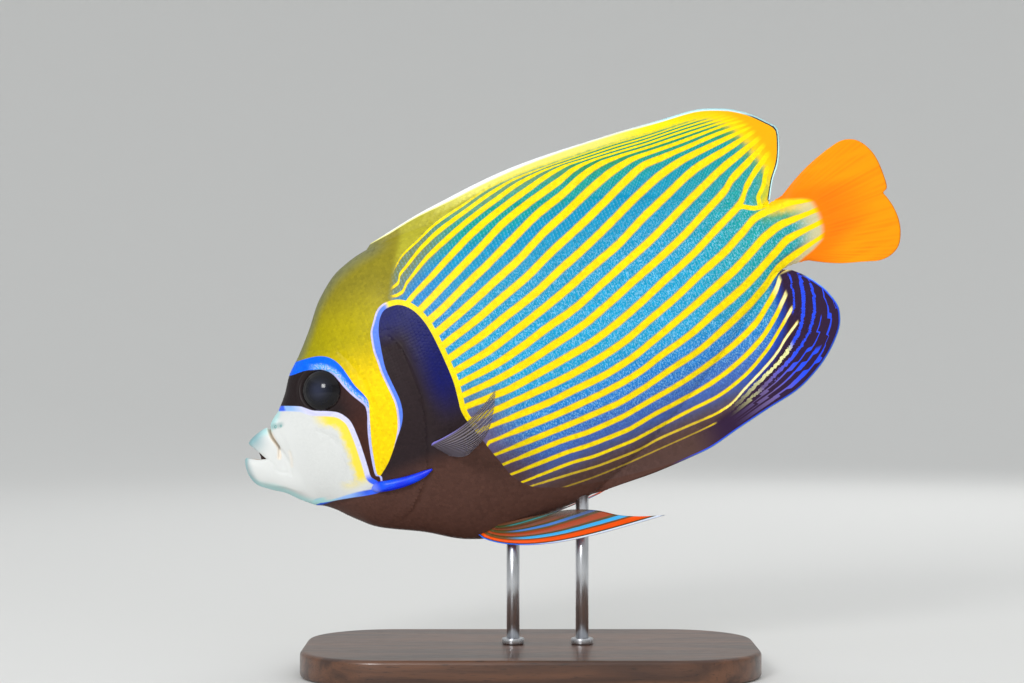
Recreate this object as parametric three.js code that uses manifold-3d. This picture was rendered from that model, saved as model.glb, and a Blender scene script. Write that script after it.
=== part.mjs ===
// Emperor angelfish at life size, swimming nose down, on a display stand of a flat base and two rods.
// Millimetres, +Z up, the head towards -X and the fish's left side towards -Y. The origin lies under
// the middle of the base. The fish is drawn in its own frame and then pitched onto the stand: x runs
// along the body from the mouth to the tail, y across it and z from the belly to the back.

import * as THREE from 'three';
import { mergeVertices } from 'three/addons/utils/BufferGeometryUtils.js';
import Module from 'manifold-3d';

const wasm = await Module();
wasm.setup();

const degree = Math.PI / 180;
const gap = 0.3;                        // clearance left between touching pieces
const far = 120;                        // past every side of the fish, for cuts that go right through

// Pose on the stand
const pitch = 22 * degree;              // how far the nose points down
const mouthHeight = 102;                // mouth above the surface that the base stands on
const mouthAhead = 131;                 // mouth ahead of the middle of the base

// Flesh of the body, as heights over x
const backLine = [[-4, -9], [-2.2, -3], [1.5, 2.5], [4, 4.5], [9, 6.2], [12.4, 6.3], [13.4, 5.8], [15, 7.7],
  [17.5, 9.5], [21, 12.7], [26, 18], [31, 25], [38, 31.5], [47, 41], [57, 52.5], [70, 61.5], [85, 65.5],
  [100, 66.5], [120, 65.5], [150, 61.5], [180, 53.5], [210, 43], [240, 29], [256, 19.5], [265, 15.4],
  [272, 16.4], [280, 18.6]];
const bellyLine = [[-4, -11.5], [-1.7, -16.7], [2.1, -20.4], [5.8, -22.5], [10, -25.8], [19.2, -35.2],
  [23.3, -37.4], [28, -41.4], [31, -44.8], [35.5, -49.6], [41, -54.6], [60, -65.2], [80, -77], [90, -79.8],
  [130, -79.7], [142, -78.8], [150, -76.8], [170, -69.5], [190, -60], [210, -49], [230, -36.5], [250, -22.5], [259, -15.8], [266, -14.9],
  [272, -15.6], [280, -17.8]];
const halfWidth = [[-4, 1.3], [-2, 3.6], [0, 4.8], [4, 6], [9, 7.1], [12.6, 7.6], [13.8, 7.5], [17, 9.4],
  [30, 14.3], [40, 17], [60, 21], [80, 24], [110, 25], [150, 22], [190, 16], [220, 11], [250, 6.6],
  [266, 4.6], [280, 3.6]];
const widestHeight = [[-4, -10], [5, -8], [40, -5], [80, -8], [120, -4], [200, 0], [280, 1]];
const ridgeSharpness = [[-4, 0.8], [20, 0.95], [60, 1.1], [100, 1.3], [200, 1.35], [280, 1.2]];
const bodyEnd = 274;                    // where the flesh of the tail stalk gives way to the tail fin
const stalkStart = 250;
const ringSteps = [[-4, 16, 2], [16, 88, 4.5], [88, 250, 9], [250, 276, 6.5]];
const ringSides = 26;

// Edge between head and torso, from the nape down along the gill opening to the throat
const headEdge = [[93, 76], [88, 62], [85.5, 48], [84, 36], [83.5, 24], [84, 12], [84, 0], [82.5, -12],
  [80, -22], [77, -31], [73, -40], [66, -49], [57, -56], [49, -63], [42, -74]];

// Gill cover, a flap that stands proud of the head and reaches back over the gill opening
const coverOutline = [[83.6, 21], [85, 12], [85.2, 0], [83.6, -12], [81, -22], [78, -31], [74, -40],
  [66.5, -49], [57.5, -55.5], [51.5, -54.5], [51, -47], [53.5, -38], [57, -28], [60.5, -16], [62.5, -4],
  [63.5, 9], [65.5, 20], [70.5, 26], [78.5, 26.5]];
const coverProud = 0.9;
const coverDepth = 1.5;
const coverPoints = 40;

// Cheek spine, from the corner of the cheek back over the gill cover
const spinePath = [[48, -37.7], [52.5, -38.5], [57, -39.4], [62, -40.1], [67, -40.4], [72, -40.2], [77, -39.5]];
const spineRadii = [[0, 1.4], [0.12, 2.5], [0.35, 2.45], [0.6, 2.15], [0.85, 1.5], [1, 0.4]];
const spineFlatness = 0.75;             // depth of the spine against its height
const spineSteps = 12;
const spineSides = 10;
const spineLift = 0.55;                 // height of its middle over the gill cover, in its own radii

// Mouth
const gape = [[-8, 2], [-2.8, -2.7], [2.4, -5.7], [5.6, -7.7], [7.2, -7.2], [6.2, -4], [4.4, -0.6],
  [1.3, 2.4], [-1, 9], [-8, 9]];
const mouthLine = [[5.5, -7.2], [11, -6.4], [20, -5.4]];
const lipEdge = [[13, 12], [13.4, 6], [14.2, 0], [14.9, -4], [16.2, -10], [16, -15], [14.6, -20], [13, -25],
  [10.5, -34]];
const throatCentre = [6.5, 0, -4.6];
const throatRadii = [8, 3.4, 2.6];
const nostrils = [[16.6, 5.4, 1.1], [19.8, 4.6, 0.8]];
const nostrilDepth = 1.6;

// Eyes
const eyeSpot = [43.2, 12.6];
const eyeRadius = 10.4;
const eyeFlatness = 0.74;               // depth of the eyeball against its width
const eyeSunk = 4;
const pupilRadius = 6;
const pupilProud = 0.35;
const orbitRadius = 9.4;
const orbitRim = 0.9;

// Median fins: [x of the root, then x and z of the margin that its ray reaches]
const dorsalRays = [[86, 88, 67.4], [110, 119, 72.5], [150, 163, 75.7], [190, 212, 72.7], [208, 234, 70.4],
  [220, 250, 68.9], [232, 264, 64.2], [240, 273, 58.5], [246, 280, 51.4], [250, 283.7, 46], [254, 281.5, 38.5],
  [258, 277.8, 31], [262, 273.2, 25.6], [266, 268, 17]];
const dorsalSpines = 14;
const dorsalSoftRays = 20;
const analRays = [[141, 143, -79.2], [152, 156, -79.8], [165, 172, -80.5], [183, 196, -79.9], [196, 215, -76.1], [208, 231, -72.8],
  [219, 246, -70], [229, 259, -64.4], [238, 270.5, -56], [245, 277.4, -47.2], [249, 279, -40.6], [253, 277, -32.6],
  [256.5, 272, -24], [260, 264, -15.9]];
const analSpines = 3;
const analSoftRays = 20;
const tailMargin = [[301, 28.6], [308.5, 30], [314, 28.6], [317.6, 25.3], [320.3, 19.8], [321.3, 13.5],
  [321.1, 5.5], [320.3, 1.6], [318, 0.3], [318.9, -2.6], [320, -8], [320, -14.2], [318.5, -20], [315.4, -25.2],
  [310.5, -27.9], [304.5, -28.2], [298, -26]];
const tailSoftRays = 17;
const tailEdgeBow = 1.2;
const finRootDepth = 3;                 // how far a fin is drawn into the flesh before it is cut to it
const finThickness = 0.6;
const rayProud = 0.3;                   // height of a ray's ridge on each face of the membrane
const spineTipRise = 0.7;
const medianRootSwell = 3;              // how much thicker each kind of fin is at its root
const pectoralRootSwell = 2.2;
const pelvicRootSwell = 2;

// Paired fins, left side: the root runs from the first to the last ray, tips are [x, y, z]
const pectoralRoot = [[79.5, -28.5], [86.3, -35.3]];
const pectoralTips = [[117.7, -62, -16.2], [116.5, -69, -19.2], [114, -71, -23.8], [110.4, -66, -29.1],
  [105.4, -56, -34.2], [99.4, -44, -36.6]];
const pectoralSag = [0, -3, -3.2];
const pectoralRayCount = 17;
const pelvicRoot = [[84, -4.4, -75.5], [95, -5.4, -75]];
const pelvicTips = [[168, -18, -99], [157, -17, -95.3], [148, -15, -91.2], [139, -12, -85.4],
  [127, -9, -80.6], [112, -6.6, -77.6]];
const pelvicSag = 8.2;
const pelvicRayCount = 8;

// The right pelvic fin is spread out flat instead, drawn here on the left side too
const flatPelvicTips = [[155, -44, -81.5], [149, -39, -82], [142, -32, -82.4], [134, -24, -82],
  [124, -15, -80.6], [111, -8, -78.4]];
const flatPelvicSag = 4;

// Stand
const baseLength = 210;
const baseWidth = 120;
const baseHeight = 12;
const baseCorner = 40;
const baseBevel = 2;
const rodRadius = 3;
const rodPlaces = [-8, 24];             // x of the two rods from the middle of the base
const rodInBody = 12;
const rodInBase = 8;

// A smooth function through a few points, with no overshoot between them
function through(points) {
  const x = points.map((point) => point[0]);
  const y = points.map((point) => point[1]);
  const slope = x.slice(1).map((next, i) => (y[i + 1] - y[i]) / (next - x[i]));
  const tangent = x.map((_, i) => {
    if (i === 0) return slope[0];
    if (i === x.length - 1) return slope[i - 1];
    if (slope[i - 1] * slope[i] <= 0) return 0;
    return (2 * slope[i - 1] * slope[i]) / (slope[i - 1] + slope[i]);
  });
  return (at) => {
    const clamped = THREE.MathUtils.clamp(at, x[0], x[x.length - 1]);
    let i = 0;
    while (i < x.length - 2 && clamped > x[i + 1]) i += 1;
    const width = x[i + 1] - x[i];
    const t = (clamped - x[i]) / width;
    const rise = y[i + 1] - y[i];
    const bend = t * (1 - t) * ((1 - t) * (tangent[i] * width - rise) - t * (tangent[i + 1] * width - rise));
    return y[i] + rise * t + bend;
  };
}

const backAt = through(backLine);
const bellyAt = through(bellyLine);
const widthAt = through(halfWidth);
const widestAt = through(widestHeight);
const sharpnessAt = through(ridgeSharpness);

// Distance of the flesh from the middle plane at a place on the side of the body
function fleshAt(x, z) {
  const middle = widestAt(x);
  const reach = z > middle ? backAt(x) - middle : middle - bellyAt(x);
  const rise = Math.min(1, Math.abs(z - middle) / reach);
  return widthAt(x) * (1 - rise * rise) ** (sharpnessAt(x) / 2);
}

function toSolid(geometry) {
  geometry.deleteAttribute('normal');
  geometry.deleteAttribute('uv');
  const merged = mergeVertices(geometry, 1e-4);
  return new wasm.Manifold(new wasm.Mesh({
    numProp: 3,
    vertProperties: new Float32Array(merged.attributes.position.array),
    triVerts: new Uint32Array(merged.index.array),
  }));
}

function toGeometry(solid) {
  const data = solid.getMesh();
  const geometry = new THREE.BufferGeometry();
  geometry.setAttribute('position', new THREE.BufferAttribute(new Float32Array(data.vertProperties), 3));
  geometry.setIndex(new THREE.BufferAttribute(new Uint32Array(data.triVerts), 1));
  geometry.computeVertexNormals();
  return geometry;
}

// The largest closed piece of a solid, without loose scraps
function largest(solid) {
  const pieces = solid.decompose();
  pieces.sort((a, b) => b.volume() - a.volume());
  return pieces[0];
}

// A closed geometry from rings of equal length, with both ends closed by a fan
function loft(rings) {
  const sides = rings[0].length;
  const positions = rings.flat().flatMap((point) => point.toArray());
  const index = [];
  for (let r = 0; r < rings.length - 1; r += 1) {
    for (let i = 0; i < sides; i += 1) {
      const next = (i + 1) % sides;
      const [a, b] = [r * sides + i, r * sides + next];
      const [c, d] = [a + sides, b + sides];
      index.push(a, b, c, b, d, c);
    }
  }
  const lastStart = (rings.length - 1) * sides;
  for (const [ring, start, flip] of [[rings[0], 0, true], [rings.at(-1), lastStart, false]]) {
    const middle = ring.reduce((sum, point) => sum.add(point), new THREE.Vector3()).divideScalar(sides);
    const hub = positions.length / 3;
    positions.push(...middle.toArray());
    for (let i = 0; i < sides; i += 1) {
      const next = (i + 1) % sides;
      index.push(...(flip ? [hub, start + next, start + i] : [hub, start + i, start + next]));
    }
  }
  const geometry = new THREE.BufferGeometry();
  geometry.setAttribute('position', new THREE.Float32BufferAttribute(positions, 3));
  geometry.setIndex(index);
  return geometry;
}

// The whole body without fins, made larger or smaller all round by grow
function bodySolid(grow) {
  const rings = [];
  for (const [from, to, step] of ringSteps) {
    const count = Math.round((to - from) / step);
    for (let i = from === -4 ? 0 : 1; i <= count; i += 1) {
      const x = from + ((to - from) * i) / count;
      const middle = widestAt(x);
      const ring = [];
      for (let side = 0; side < ringSides; side += 1) {
        const angle = (2 * Math.PI * side) / ringSides;
        const across = Math.sin(angle);
        const up = Math.cos(angle);
        const reach = up > 0 ? backAt(x) + grow - middle : middle - bellyAt(x) + grow;
        const y = -Math.sign(across) * (widthAt(x) + grow) * Math.abs(across) ** sharpnessAt(x);
        ring.push(new THREE.Vector3(x, Math.abs(across) < 1e-9 ? 0 : y, middle + reach * up));
      }
      rings.push(ring);
    }
  }
  return toSolid(loft(rings));
}

// A prism across the body from a closed outline on its side
function prism(outline, fromY = -far, toY = far) {
  const shape = new THREE.Shape(outline.map(([x, z]) => new THREE.Vector2(x, z)));
  const geometry = new THREE.ExtrudeGeometry(shape, { depth: toY - fromY, bevelEnabled: false, steps: 1 });
  geometry.rotateX(Math.PI / 2);
  geometry.translate(0, toY, 0);
  return toSolid(geometry);
}

// Points spread along a smooth line through a few given ones, moved sideways by shift
function smoothLine(points, count, shift = 0, closed = false) {
  const line = new THREE.CatmullRomCurve3(
    points.map(([x, z]) => new THREE.Vector3(x, 0, z)),
    closed,
    'centripetal',
  );
  return Array.from({ length: closed ? count : count + 1 }, (_, i) => {
    const at = line.getPointAt(i / count);
    const along = line.getTangentAt(i / count);
    return [at.x - along.z * shift, at.z + along.x * shift];
  });
}

// A thin closed sheet over a grid, with the same triangles on both faces.
// place(u, v) gives its middle surface and thickness(u, v, column) its full thickness.
function sheet(columns, rowPlaces, place, thickness) {
  const rows = rowPlaces.length;
  const faces = [[], []];
  const step = 1e-3;
  for (let column = 0; column <= columns; column += 1) {
    for (const v of rowPlaces) {
      const u = column / columns;
      const at = place(u, v, column);
      const alongU = place(Math.min(1, u + step), v, column).sub(place(Math.max(0, u - step), v, column));
      const alongV = place(u, v + step, column).sub(place(u, v - step, column));
      const normal = alongU.cross(alongV).normalize();
      const half = thickness(u, v, column) / 2;
      faces[0].push(at.clone().addScaledVector(normal, half));
      faces[1].push(at.clone().addScaledVector(normal, -half));
    }
  }
  const other = faces[0].length;
  const index = [];
  const wall = (a, b) => index.push(a, b, a + other, b, b + other, a + other);
  for (let column = 0; column < columns; column += 1) {
    for (let row = 0; row < rows - 1; row += 1) {
      const a = column * rows + row;
      const [b, c, d] = [a + 1, a + rows, a + rows + 1];
      index.push(a, c, b, b, c, d);
      index.push(other + a, other + b, other + c, other + b, other + d, other + c);
    }
    wall((column + 1) * rows, column * rows);
    wall((column + 1) * rows - 1, (column + 2) * rows - 1);
  }
  for (let row = 0; row < rows - 1; row += 1) {
    wall(row, row + 1);
    wall(columns * rows + row + 1, columns * rows + row);
  }
  const geometry = new THREE.BufferGeometry();
  const positions = faces.flat().flatMap((point) => point.toArray());
  geometry.setAttribute('position', new THREE.Float32BufferAttribute(positions, 3));
  geometry.setIndex(index);
  return toSolid(geometry);
}

const finishes = {
  skin: { color: 0x2f86c8, roughness: 0.38, metalness: 0 },
  face: { color: 0xe6e6e0, roughness: 0.4, metalness: 0 },
  fins: { color: 0xe7b81e, roughness: 0.42, metalness: 0 },
  spine: { color: 0x1b45e0, roughness: 0.3, metalness: 0 },
  eye: { color: 0x1c1a1c, roughness: 0.1, metalness: 0 },
  wood: { color: 0x3a241a, roughness: 0.45, metalness: 0 },
  steel: { color: 0xb8bcc0, roughness: 0.3, metalness: 1 },
};

function named(name, geometry, finish) {
  const mesh = new THREE.Mesh(geometry, new THREE.MeshStandardMaterial(finishes[finish]));
  mesh.name = name;
  return mesh;
}

const model = new THREE.Group();
const fish = new THREE.Group();
fish.position.set(-mouthAhead, 0, mouthHeight);
fish.rotation.y = -pitch;
fish.updateMatrixWorld();
model.add(fish);

const body = bodySolid(0);
const clearOfBody = bodySolid(gap);
const sides = [['left', -1], ['right', 1]];

// Eyes, set along the normal of the head at their place
function eyeSeat(side) {
  const [x, z] = eyeSpot;
  const step = 1;
  const slopeX = (fleshAt(x + step, z) - fleshAt(x - step, z)) / (2 * step);
  const slopeZ = (fleshAt(x, z + step) - fleshAt(x, z - step)) / (2 * step);
  const normal = new THREE.Vector3(-slopeX, side, -slopeZ).normalize();
  const surface = new THREE.Vector3(x, side * fleshAt(x, z), z);
  const turn = new THREE.Quaternion().setFromUnitVectors(new THREE.Vector3(0, 0, 1), normal);
  return { surface, normal, turn, centre: surface.clone().addScaledVector(normal, -eyeSunk) };
}

function eyeball(grow) {
  const ball = new THREE.SphereGeometry(eyeRadius + grow, 20, 12);
  ball.scale(1, 1, (eyeRadius * eyeFlatness + grow) / (eyeRadius + grow));
  const pupil = new THREE.SphereGeometry(pupilRadius + grow, 16, 10);
  pupil.translate(0, 0, eyeRadius * eyeFlatness + pupilProud - pupilRadius);
  return toSolid(ball).add(toSolid(pupil));
}

function placed(geometry, position, turn) {
  return geometry.applyMatrix4(new THREE.Matrix4().compose(position, turn, new THREE.Vector3(1, 1, 1)));
}

// Rods of the stand, and where they stand in the fish's own frame
const rodTops = rodPlaces.map((x) => {
  const ridge = new THREE.Vector3();
  let along = 0;
  for (let pass = 0; pass < 8; pass += 1) {
    ridge.set(along, 0, bellyAt(along)).applyMatrix4(fish.matrixWorld);
    along += (x - ridge.x) / Math.cos(pitch);
  }
  return ridge.z + rodInBody;
});

function rodGeometry(index, grow) {
  const bottom = baseHeight - rodInBase;
  const height = rodTops[index] - bottom + 2 * grow;
  const rod = new THREE.CylinderGeometry(rodRadius + grow, rodRadius + grow, height, 20);
  rod.rotateX(Math.PI / 2);
  rod.translate(rodPlaces[index], 0, bottom - grow + height / 2);
  return rod;
}

// Head, with its eye sockets, orbital rims, nostrils and the seats of the gill covers
const edgePoints = (shift) => smoothLine(headEdge, 26, shift);
const ahead = (line) => prism([...line, [-far, -far], [-far, far]]);
const coverSeat = prism(smoothLine(coverOutline, coverPoints, gap, true))
  .subtract(bodySolid(-coverDepth - gap));
const lipWall = (shift) => ahead(smoothLine(lipEdge, 12, shift));

function makeThroat() {
  const throat = new THREE.SphereGeometry(1, 14, 8);
  throat.scale(...throatRadii);
  throat.translate(...throatCentre);
  return toSolid(throat);
}

function makeHead() {
  let head = body.intersect(ahead(edgePoints(0))).subtract(lipWall(gap)).subtract(coverSeat);
  for (const [, side] of sides) {
    const seat = eyeSeat(side);
    const rim = new THREE.TorusGeometry(orbitRadius, orbitRim, 6, 24);
    head = head.add(toSolid(placed(rim, seat.surface, seat.turn)));
    head = head.subtract(toSolid(placed(toGeometry(eyeball(gap)), seat.centre, seat.turn)));
    for (const [x, z, radius] of nostrils) {
      const pit = new THREE.CylinderGeometry(radius, radius * 0.6, 2 * nostrilDepth, 8);
      pit.translate(x, side * fleshAt(x, z), z);
      head = head.subtract(toSolid(pit));
    }
  }
  return largest(head.subtract(makeThroat()));
}

// Lips, parted by the open mouth and the line that runs back from its corner
function makeLips() {
  const front = body.intersect(lipWall(0)).subtract(prism(gape)).subtract(makeThroat());
  const above = (shift) => {
    const line = mouthLine.map(([x, z]) => [x, z + shift]);
    return prism([...line, [line.at(-1)[0], far], [-far, far], [-far, line[0][1]]]);
  };
  return {
    upper: largest(front.intersect(above(0))),
    lower: largest(front.subtract(above(-gap))),
  };
}

function makeGillCover(side) {
  const [fromY, toY] = side < 0 ? [-far, 0] : [0, far];
  return largest(prism(smoothLine(coverOutline, coverPoints, 0, true), fromY, toY)
    .intersect(bodySolid(coverProud)).subtract(bodySolid(-coverDepth)));
}

// Cheek spine: a curved horn lying on the gill cover
function makeCheekSpine(side) {
  const radiusAt = through(spineRadii);
  const path = new THREE.CatmullRomCurve3(spinePath.map(([x, z]) => new THREE.Vector3(x, 0, z)));
  const rings = [];
  for (let i = 0; i <= spineSteps; i += 1) {
    const at = path.getPointAt(i / spineSteps);
    const radius = radiusAt(i / spineSteps);
    const middle = side * (fleshAt(at.x, at.z) + coverProud + spineLift * radius);
    rings.push(Array.from({ length: spineSides }, (_, k) => {
      const angle = (2 * Math.PI * k) / spineSides;
      const out = spineFlatness * radius * Math.sin(angle);
      return new THREE.Vector3(at.x, middle + out, at.z - radius * Math.cos(angle));
    }));
  }
  return largest(toSolid(loft(rings)).subtract(bodySolid(coverProud + gap)));
}

// Torso and tail stalk
function behind(x) {
  const past = x + far;
  return prism([[x, -far], [past, -far], [past, far], [x, far]]);
}

function makeTorso() {
  let torso = body.subtract(ahead(edgePoints(gap))).subtract(coverSeat).subtract(behind(stalkStart - gap));
  const toFish = fish.matrixWorld.clone().invert();
  rodPlaces.forEach((_, i) => {
    torso = torso.subtract(toSolid(rodGeometry(i, gap).applyMatrix4(toFish)));
  });
  return largest(torso);
}

function makeTailStalk() {
  return largest(body.intersect(behind(stalkStart)).subtract(behind(bodyEnd)));
}

// Median fins. A ray is a crest every second column, and its membrane a valley between two of them.
function medianFin(rays, spines, softRays, ridgeAt, inward) {
  const [first, last] = [rays[0][0], rays.at(-1)[0]];
  const marginX = through(rays.map(([root, x]) => [(root - first) / (last - first), x]));
  const marginZ = through(rays.map(([root, , z]) => [(root - first) / (last - first), z]));
  const rayCount = spines + softRays;
  const place = (u, v, column) => {
    const x = first + (last - first) * u;
    const root = new THREE.Vector3(x, 0, ridgeAt(x) + inward * finRootDepth);
    const tip = new THREE.Vector3(marginX(u), 0, marginZ(u));
    if (column % 2 === 1 && column < 2 * spines) tip.z -= inward * spineTipRise;
    return root.lerp(tip, v);
  };
  const thickness = (u, v, column) => {
    const crest = column % 2 === 1 ? 2 * rayProud * (1 - 0.5 * v) : 0;
    return finThickness + medianRootSwell * (1 - v) ** 2 + crest;
  };
  const rows = [0, 0.35, 1];
  return largest(sheet(2 * rayCount, rows, place, thickness).subtract(clearOfBody));
}

function makeTailFin() {
  const margin = new THREE.CatmullRomCurve3(tailMargin.map(([x, z]) => new THREE.Vector3(x, 0, z)));
  const start = bodyEnd + gap;
  const [top, bottom] = [backAt(start) - 0.4, bellyAt(start) + 0.4];
  const place = (u, v) => {
    const root = new THREE.Vector3(start, 0, THREE.MathUtils.lerp(top, bottom, u));
    const tip = margin.getPointAt(THREE.MathUtils.clamp(u, 0, 1));
    const edge = (u - 0.5) * 2;
    const bow = tailEdgeBow * edge * Math.abs(edge) * Math.sin(Math.PI * v);
    return root.lerp(tip, v).add(new THREE.Vector3(0, 0, bow));
  };
  const thickness = (u, v, column) => {
    const root = 2 * widthAt(start) * Math.sqrt(Math.max(0, 1 - (2 * u - 1) ** 2));
    const crest = column % 2 === 1 ? 2 * rayProud * Math.min(1, 3 * v) * (1 - 0.4 * v) : 0;
    return finThickness + Math.max(0, root - finThickness) * (1 - v) ** 4 + crest;
  };
  return sheet(2 * tailSoftRays, [0, 0.15, 0.4, 0.7, 1], place, thickness);
}

// Paired fins, drawn for the left side and mirrored by side
function tipLine(points, side) {
  return new THREE.CatmullRomCurve3(points.map(([x, y, z]) => new THREE.Vector3(x, -side * y, z)));
}

function pectoralFin(side) {
  const tips = tipLine(pectoralTips, side);
  const [[x0, z0], [x1, z1]] = pectoralRoot;
  const place = (u, v) => {
    const [x, z] = [THREE.MathUtils.lerp(x0, x1, u), THREE.MathUtils.lerp(z0, z1, u)];
    const root = new THREE.Vector3(x, side * (fleshAt(x, z) - finRootDepth), z);
    const sag = Math.sin(Math.PI * v);
    const [sx, sy, sz] = pectoralSag;
    return root.lerp(tips.getPointAt(THREE.MathUtils.clamp(u, 0, 1)), v)
      .add(new THREE.Vector3(sx * sag, -side * sy * sag, sz * sag));
  };
  const thickness = (u, v, column) => {
    const crest = column % 2 === 1 ? 2 * rayProud * (1 - 0.6 * v) : 0;
    return finThickness + pectoralRootSwell * (1 - v) ** 3 + crest;
  };
  const rows = [0, 0.2, 0.45, 0.72, 1];
  return largest(sheet(2 * pectoralRayCount, rows, place, thickness).subtract(clearOfBody));
}

function pelvicFin(side) {
  const [tipPoints, sag] = side < 0 ? [pelvicTips, pelvicSag] : [flatPelvicTips, flatPelvicSag];
  const tips = tipLine(tipPoints, side);
  const [first, last] = pelvicRoot;
  const place = (u, v) => {
    const root = new THREE.Vector3(...first).lerp(new THREE.Vector3(...last), u);
    root.y *= -side;
    const at = root.lerp(tips.getPointAt(THREE.MathUtils.clamp(u, 0, 1)), v);
    at.z -= sag * (1 - u) * Math.sin(Math.PI * Math.max(0, v) ** 0.62);
    return at;
  };
  const thickness = (u, v, column) => {
    const crest = column % 2 === 1 ? 2 * rayProud * (1 - 0.6 * v) : 0;
    return finThickness + pelvicRootSwell * (1 - v) ** 4 + crest;
  };
  const rows = [0, 0.08, 0.2, 0.4, 0.7, 1];
  return largest(sheet(2 * pelvicRayCount, rows, place, thickness).subtract(clearOfBody));
}

// Stand
function makeBase() {
  const [x, y, r] = [baseLength / 2, baseWidth / 2, baseCorner].map((size) => size - baseBevel);
  const outline = new THREE.Shape();
  outline.moveTo(-x + r, -y);
  outline.lineTo(x - r, -y);
  outline.absarc(x - r, -y + r, r, -Math.PI / 2, 0);
  outline.lineTo(x, y - r);
  outline.absarc(x - r, y - r, r, 0, Math.PI / 2);
  outline.lineTo(-x + r, y);
  outline.absarc(-x + r, y - r, r, Math.PI / 2, Math.PI);
  outline.lineTo(-x, -y + r);
  outline.absarc(-x + r, -y + r, r, Math.PI, 1.5 * Math.PI);
  const slab = new THREE.ExtrudeGeometry(outline, {
    depth: baseHeight - 2 * baseBevel,
    bevelThickness: baseBevel,
    bevelSize: baseBevel,
    bevelSegments: 1,
    curveSegments: 6,
  });
  slab.translate(0, 0, baseBevel);
  let base = toSolid(slab);
  rodPlaces.forEach((_, i) => {
    base = base.subtract(toSolid(rodGeometry(i, gap)));
  });
  return largest(base);
}

const lips = makeLips();
fish.add(named('head', toGeometry(makeHead()), 'face'));
fish.add(named('upper_lip', toGeometry(lips.upper), 'face'));
fish.add(named('lower_lip', toGeometry(lips.lower), 'face'));
fish.add(named('torso', toGeometry(makeTorso()), 'skin'));
fish.add(named('tail_stalk', toGeometry(makeTailStalk()), 'skin'));
const dorsalFin = medianFin(dorsalRays, dorsalSpines, dorsalSoftRays, backAt, -1);
const analFin = medianFin(analRays, analSpines, analSoftRays, bellyAt, 1);
fish.add(named('dorsal_fin', toGeometry(dorsalFin), 'fins'));
fish.add(named('anal_fin', toGeometry(analFin), 'fins'));
fish.add(named('tail_fin', toGeometry(makeTailFin()), 'fins'));
for (const [word, side] of sides) {
  const seat = eyeSeat(side);
  const eye = named(`eye_${word}`, toGeometry(eyeball(0)), 'eye');
  eye.position.copy(seat.centre);
  eye.quaternion.copy(seat.turn);
  fish.add(eye);
  fish.add(named(`gill_cover_${word}`, toGeometry(makeGillCover(side)), 'skin'));
  fish.add(named(`cheek_spine_${word}`, toGeometry(makeCheekSpine(side)), 'spine'));
  fish.add(named(`pectoral_fin_${word}`, toGeometry(pectoralFin(side)), 'fins'));
  fish.add(named(`pelvic_fin_${word}`, toGeometry(pelvicFin(side)), 'fins'));
}

model.add(named('stand_base', toGeometry(makeBase()), 'wood'));
['front', 'rear'].forEach((word, i) => {
  model.add(named(`stand_rod_${word}`, rodGeometry(i, 0), 'steel'));
});

export default model;
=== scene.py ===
import math

import bmesh
import bpy
import numpy as np
from mathutils import Matrix, Vector
from mathutils.bvhtree import BVHTree


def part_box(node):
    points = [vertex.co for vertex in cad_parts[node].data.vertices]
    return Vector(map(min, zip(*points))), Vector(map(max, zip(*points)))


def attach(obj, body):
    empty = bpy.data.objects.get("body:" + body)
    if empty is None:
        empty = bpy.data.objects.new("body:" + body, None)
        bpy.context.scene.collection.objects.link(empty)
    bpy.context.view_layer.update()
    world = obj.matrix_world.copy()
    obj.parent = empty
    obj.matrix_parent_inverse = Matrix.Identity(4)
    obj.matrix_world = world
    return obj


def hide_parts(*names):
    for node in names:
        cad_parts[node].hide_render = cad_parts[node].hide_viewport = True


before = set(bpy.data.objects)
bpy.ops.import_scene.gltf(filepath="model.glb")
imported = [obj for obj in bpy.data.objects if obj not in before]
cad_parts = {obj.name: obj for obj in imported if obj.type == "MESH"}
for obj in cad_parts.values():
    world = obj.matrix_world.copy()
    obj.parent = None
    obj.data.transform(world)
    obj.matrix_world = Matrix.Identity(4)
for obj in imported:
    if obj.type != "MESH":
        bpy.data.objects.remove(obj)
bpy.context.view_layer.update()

# Emperor angelfish on its stand. The fish is drawn in its own frame, in millimetres: along from the mouth
# to the tail, across with the left side negative, and up from belly to back. toWorld turns it nose down.

bpy.context.scene.view_settings.view_transform = "Standard"

pose = {
    "pitch": 22.0,          # degrees nose down
    "mouthHeight": 102.0,   # mouth above the table
    "mouthAhead": 131.0,    # mouth ahead of the middle of the base
}


def toWorld(places):
    turn = math.radians(pose["pitch"])
    along, across, up = np.moveaxis(np.asarray(places, float), -1, 0)
    x = along * math.cos(turn) - up * math.sin(turn) - pose["mouthAhead"]
    z = along * math.sin(turn) + up * math.cos(turn) + pose["mouthHeight"]
    return np.stack([x, across, z], -1) / 1000


def toFish(places):
    turn = math.radians(pose["pitch"])
    x, y, z = np.moveaxis(np.asarray(places, float) * 1000, -1, 0)
    x = x + pose["mouthAhead"]
    z = z - pose["mouthHeight"]
    return np.stack([x * math.cos(turn) + z * math.sin(turn), y, z * math.cos(turn) - x * math.sin(turn)], -1)


# Curves through a few points

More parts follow.
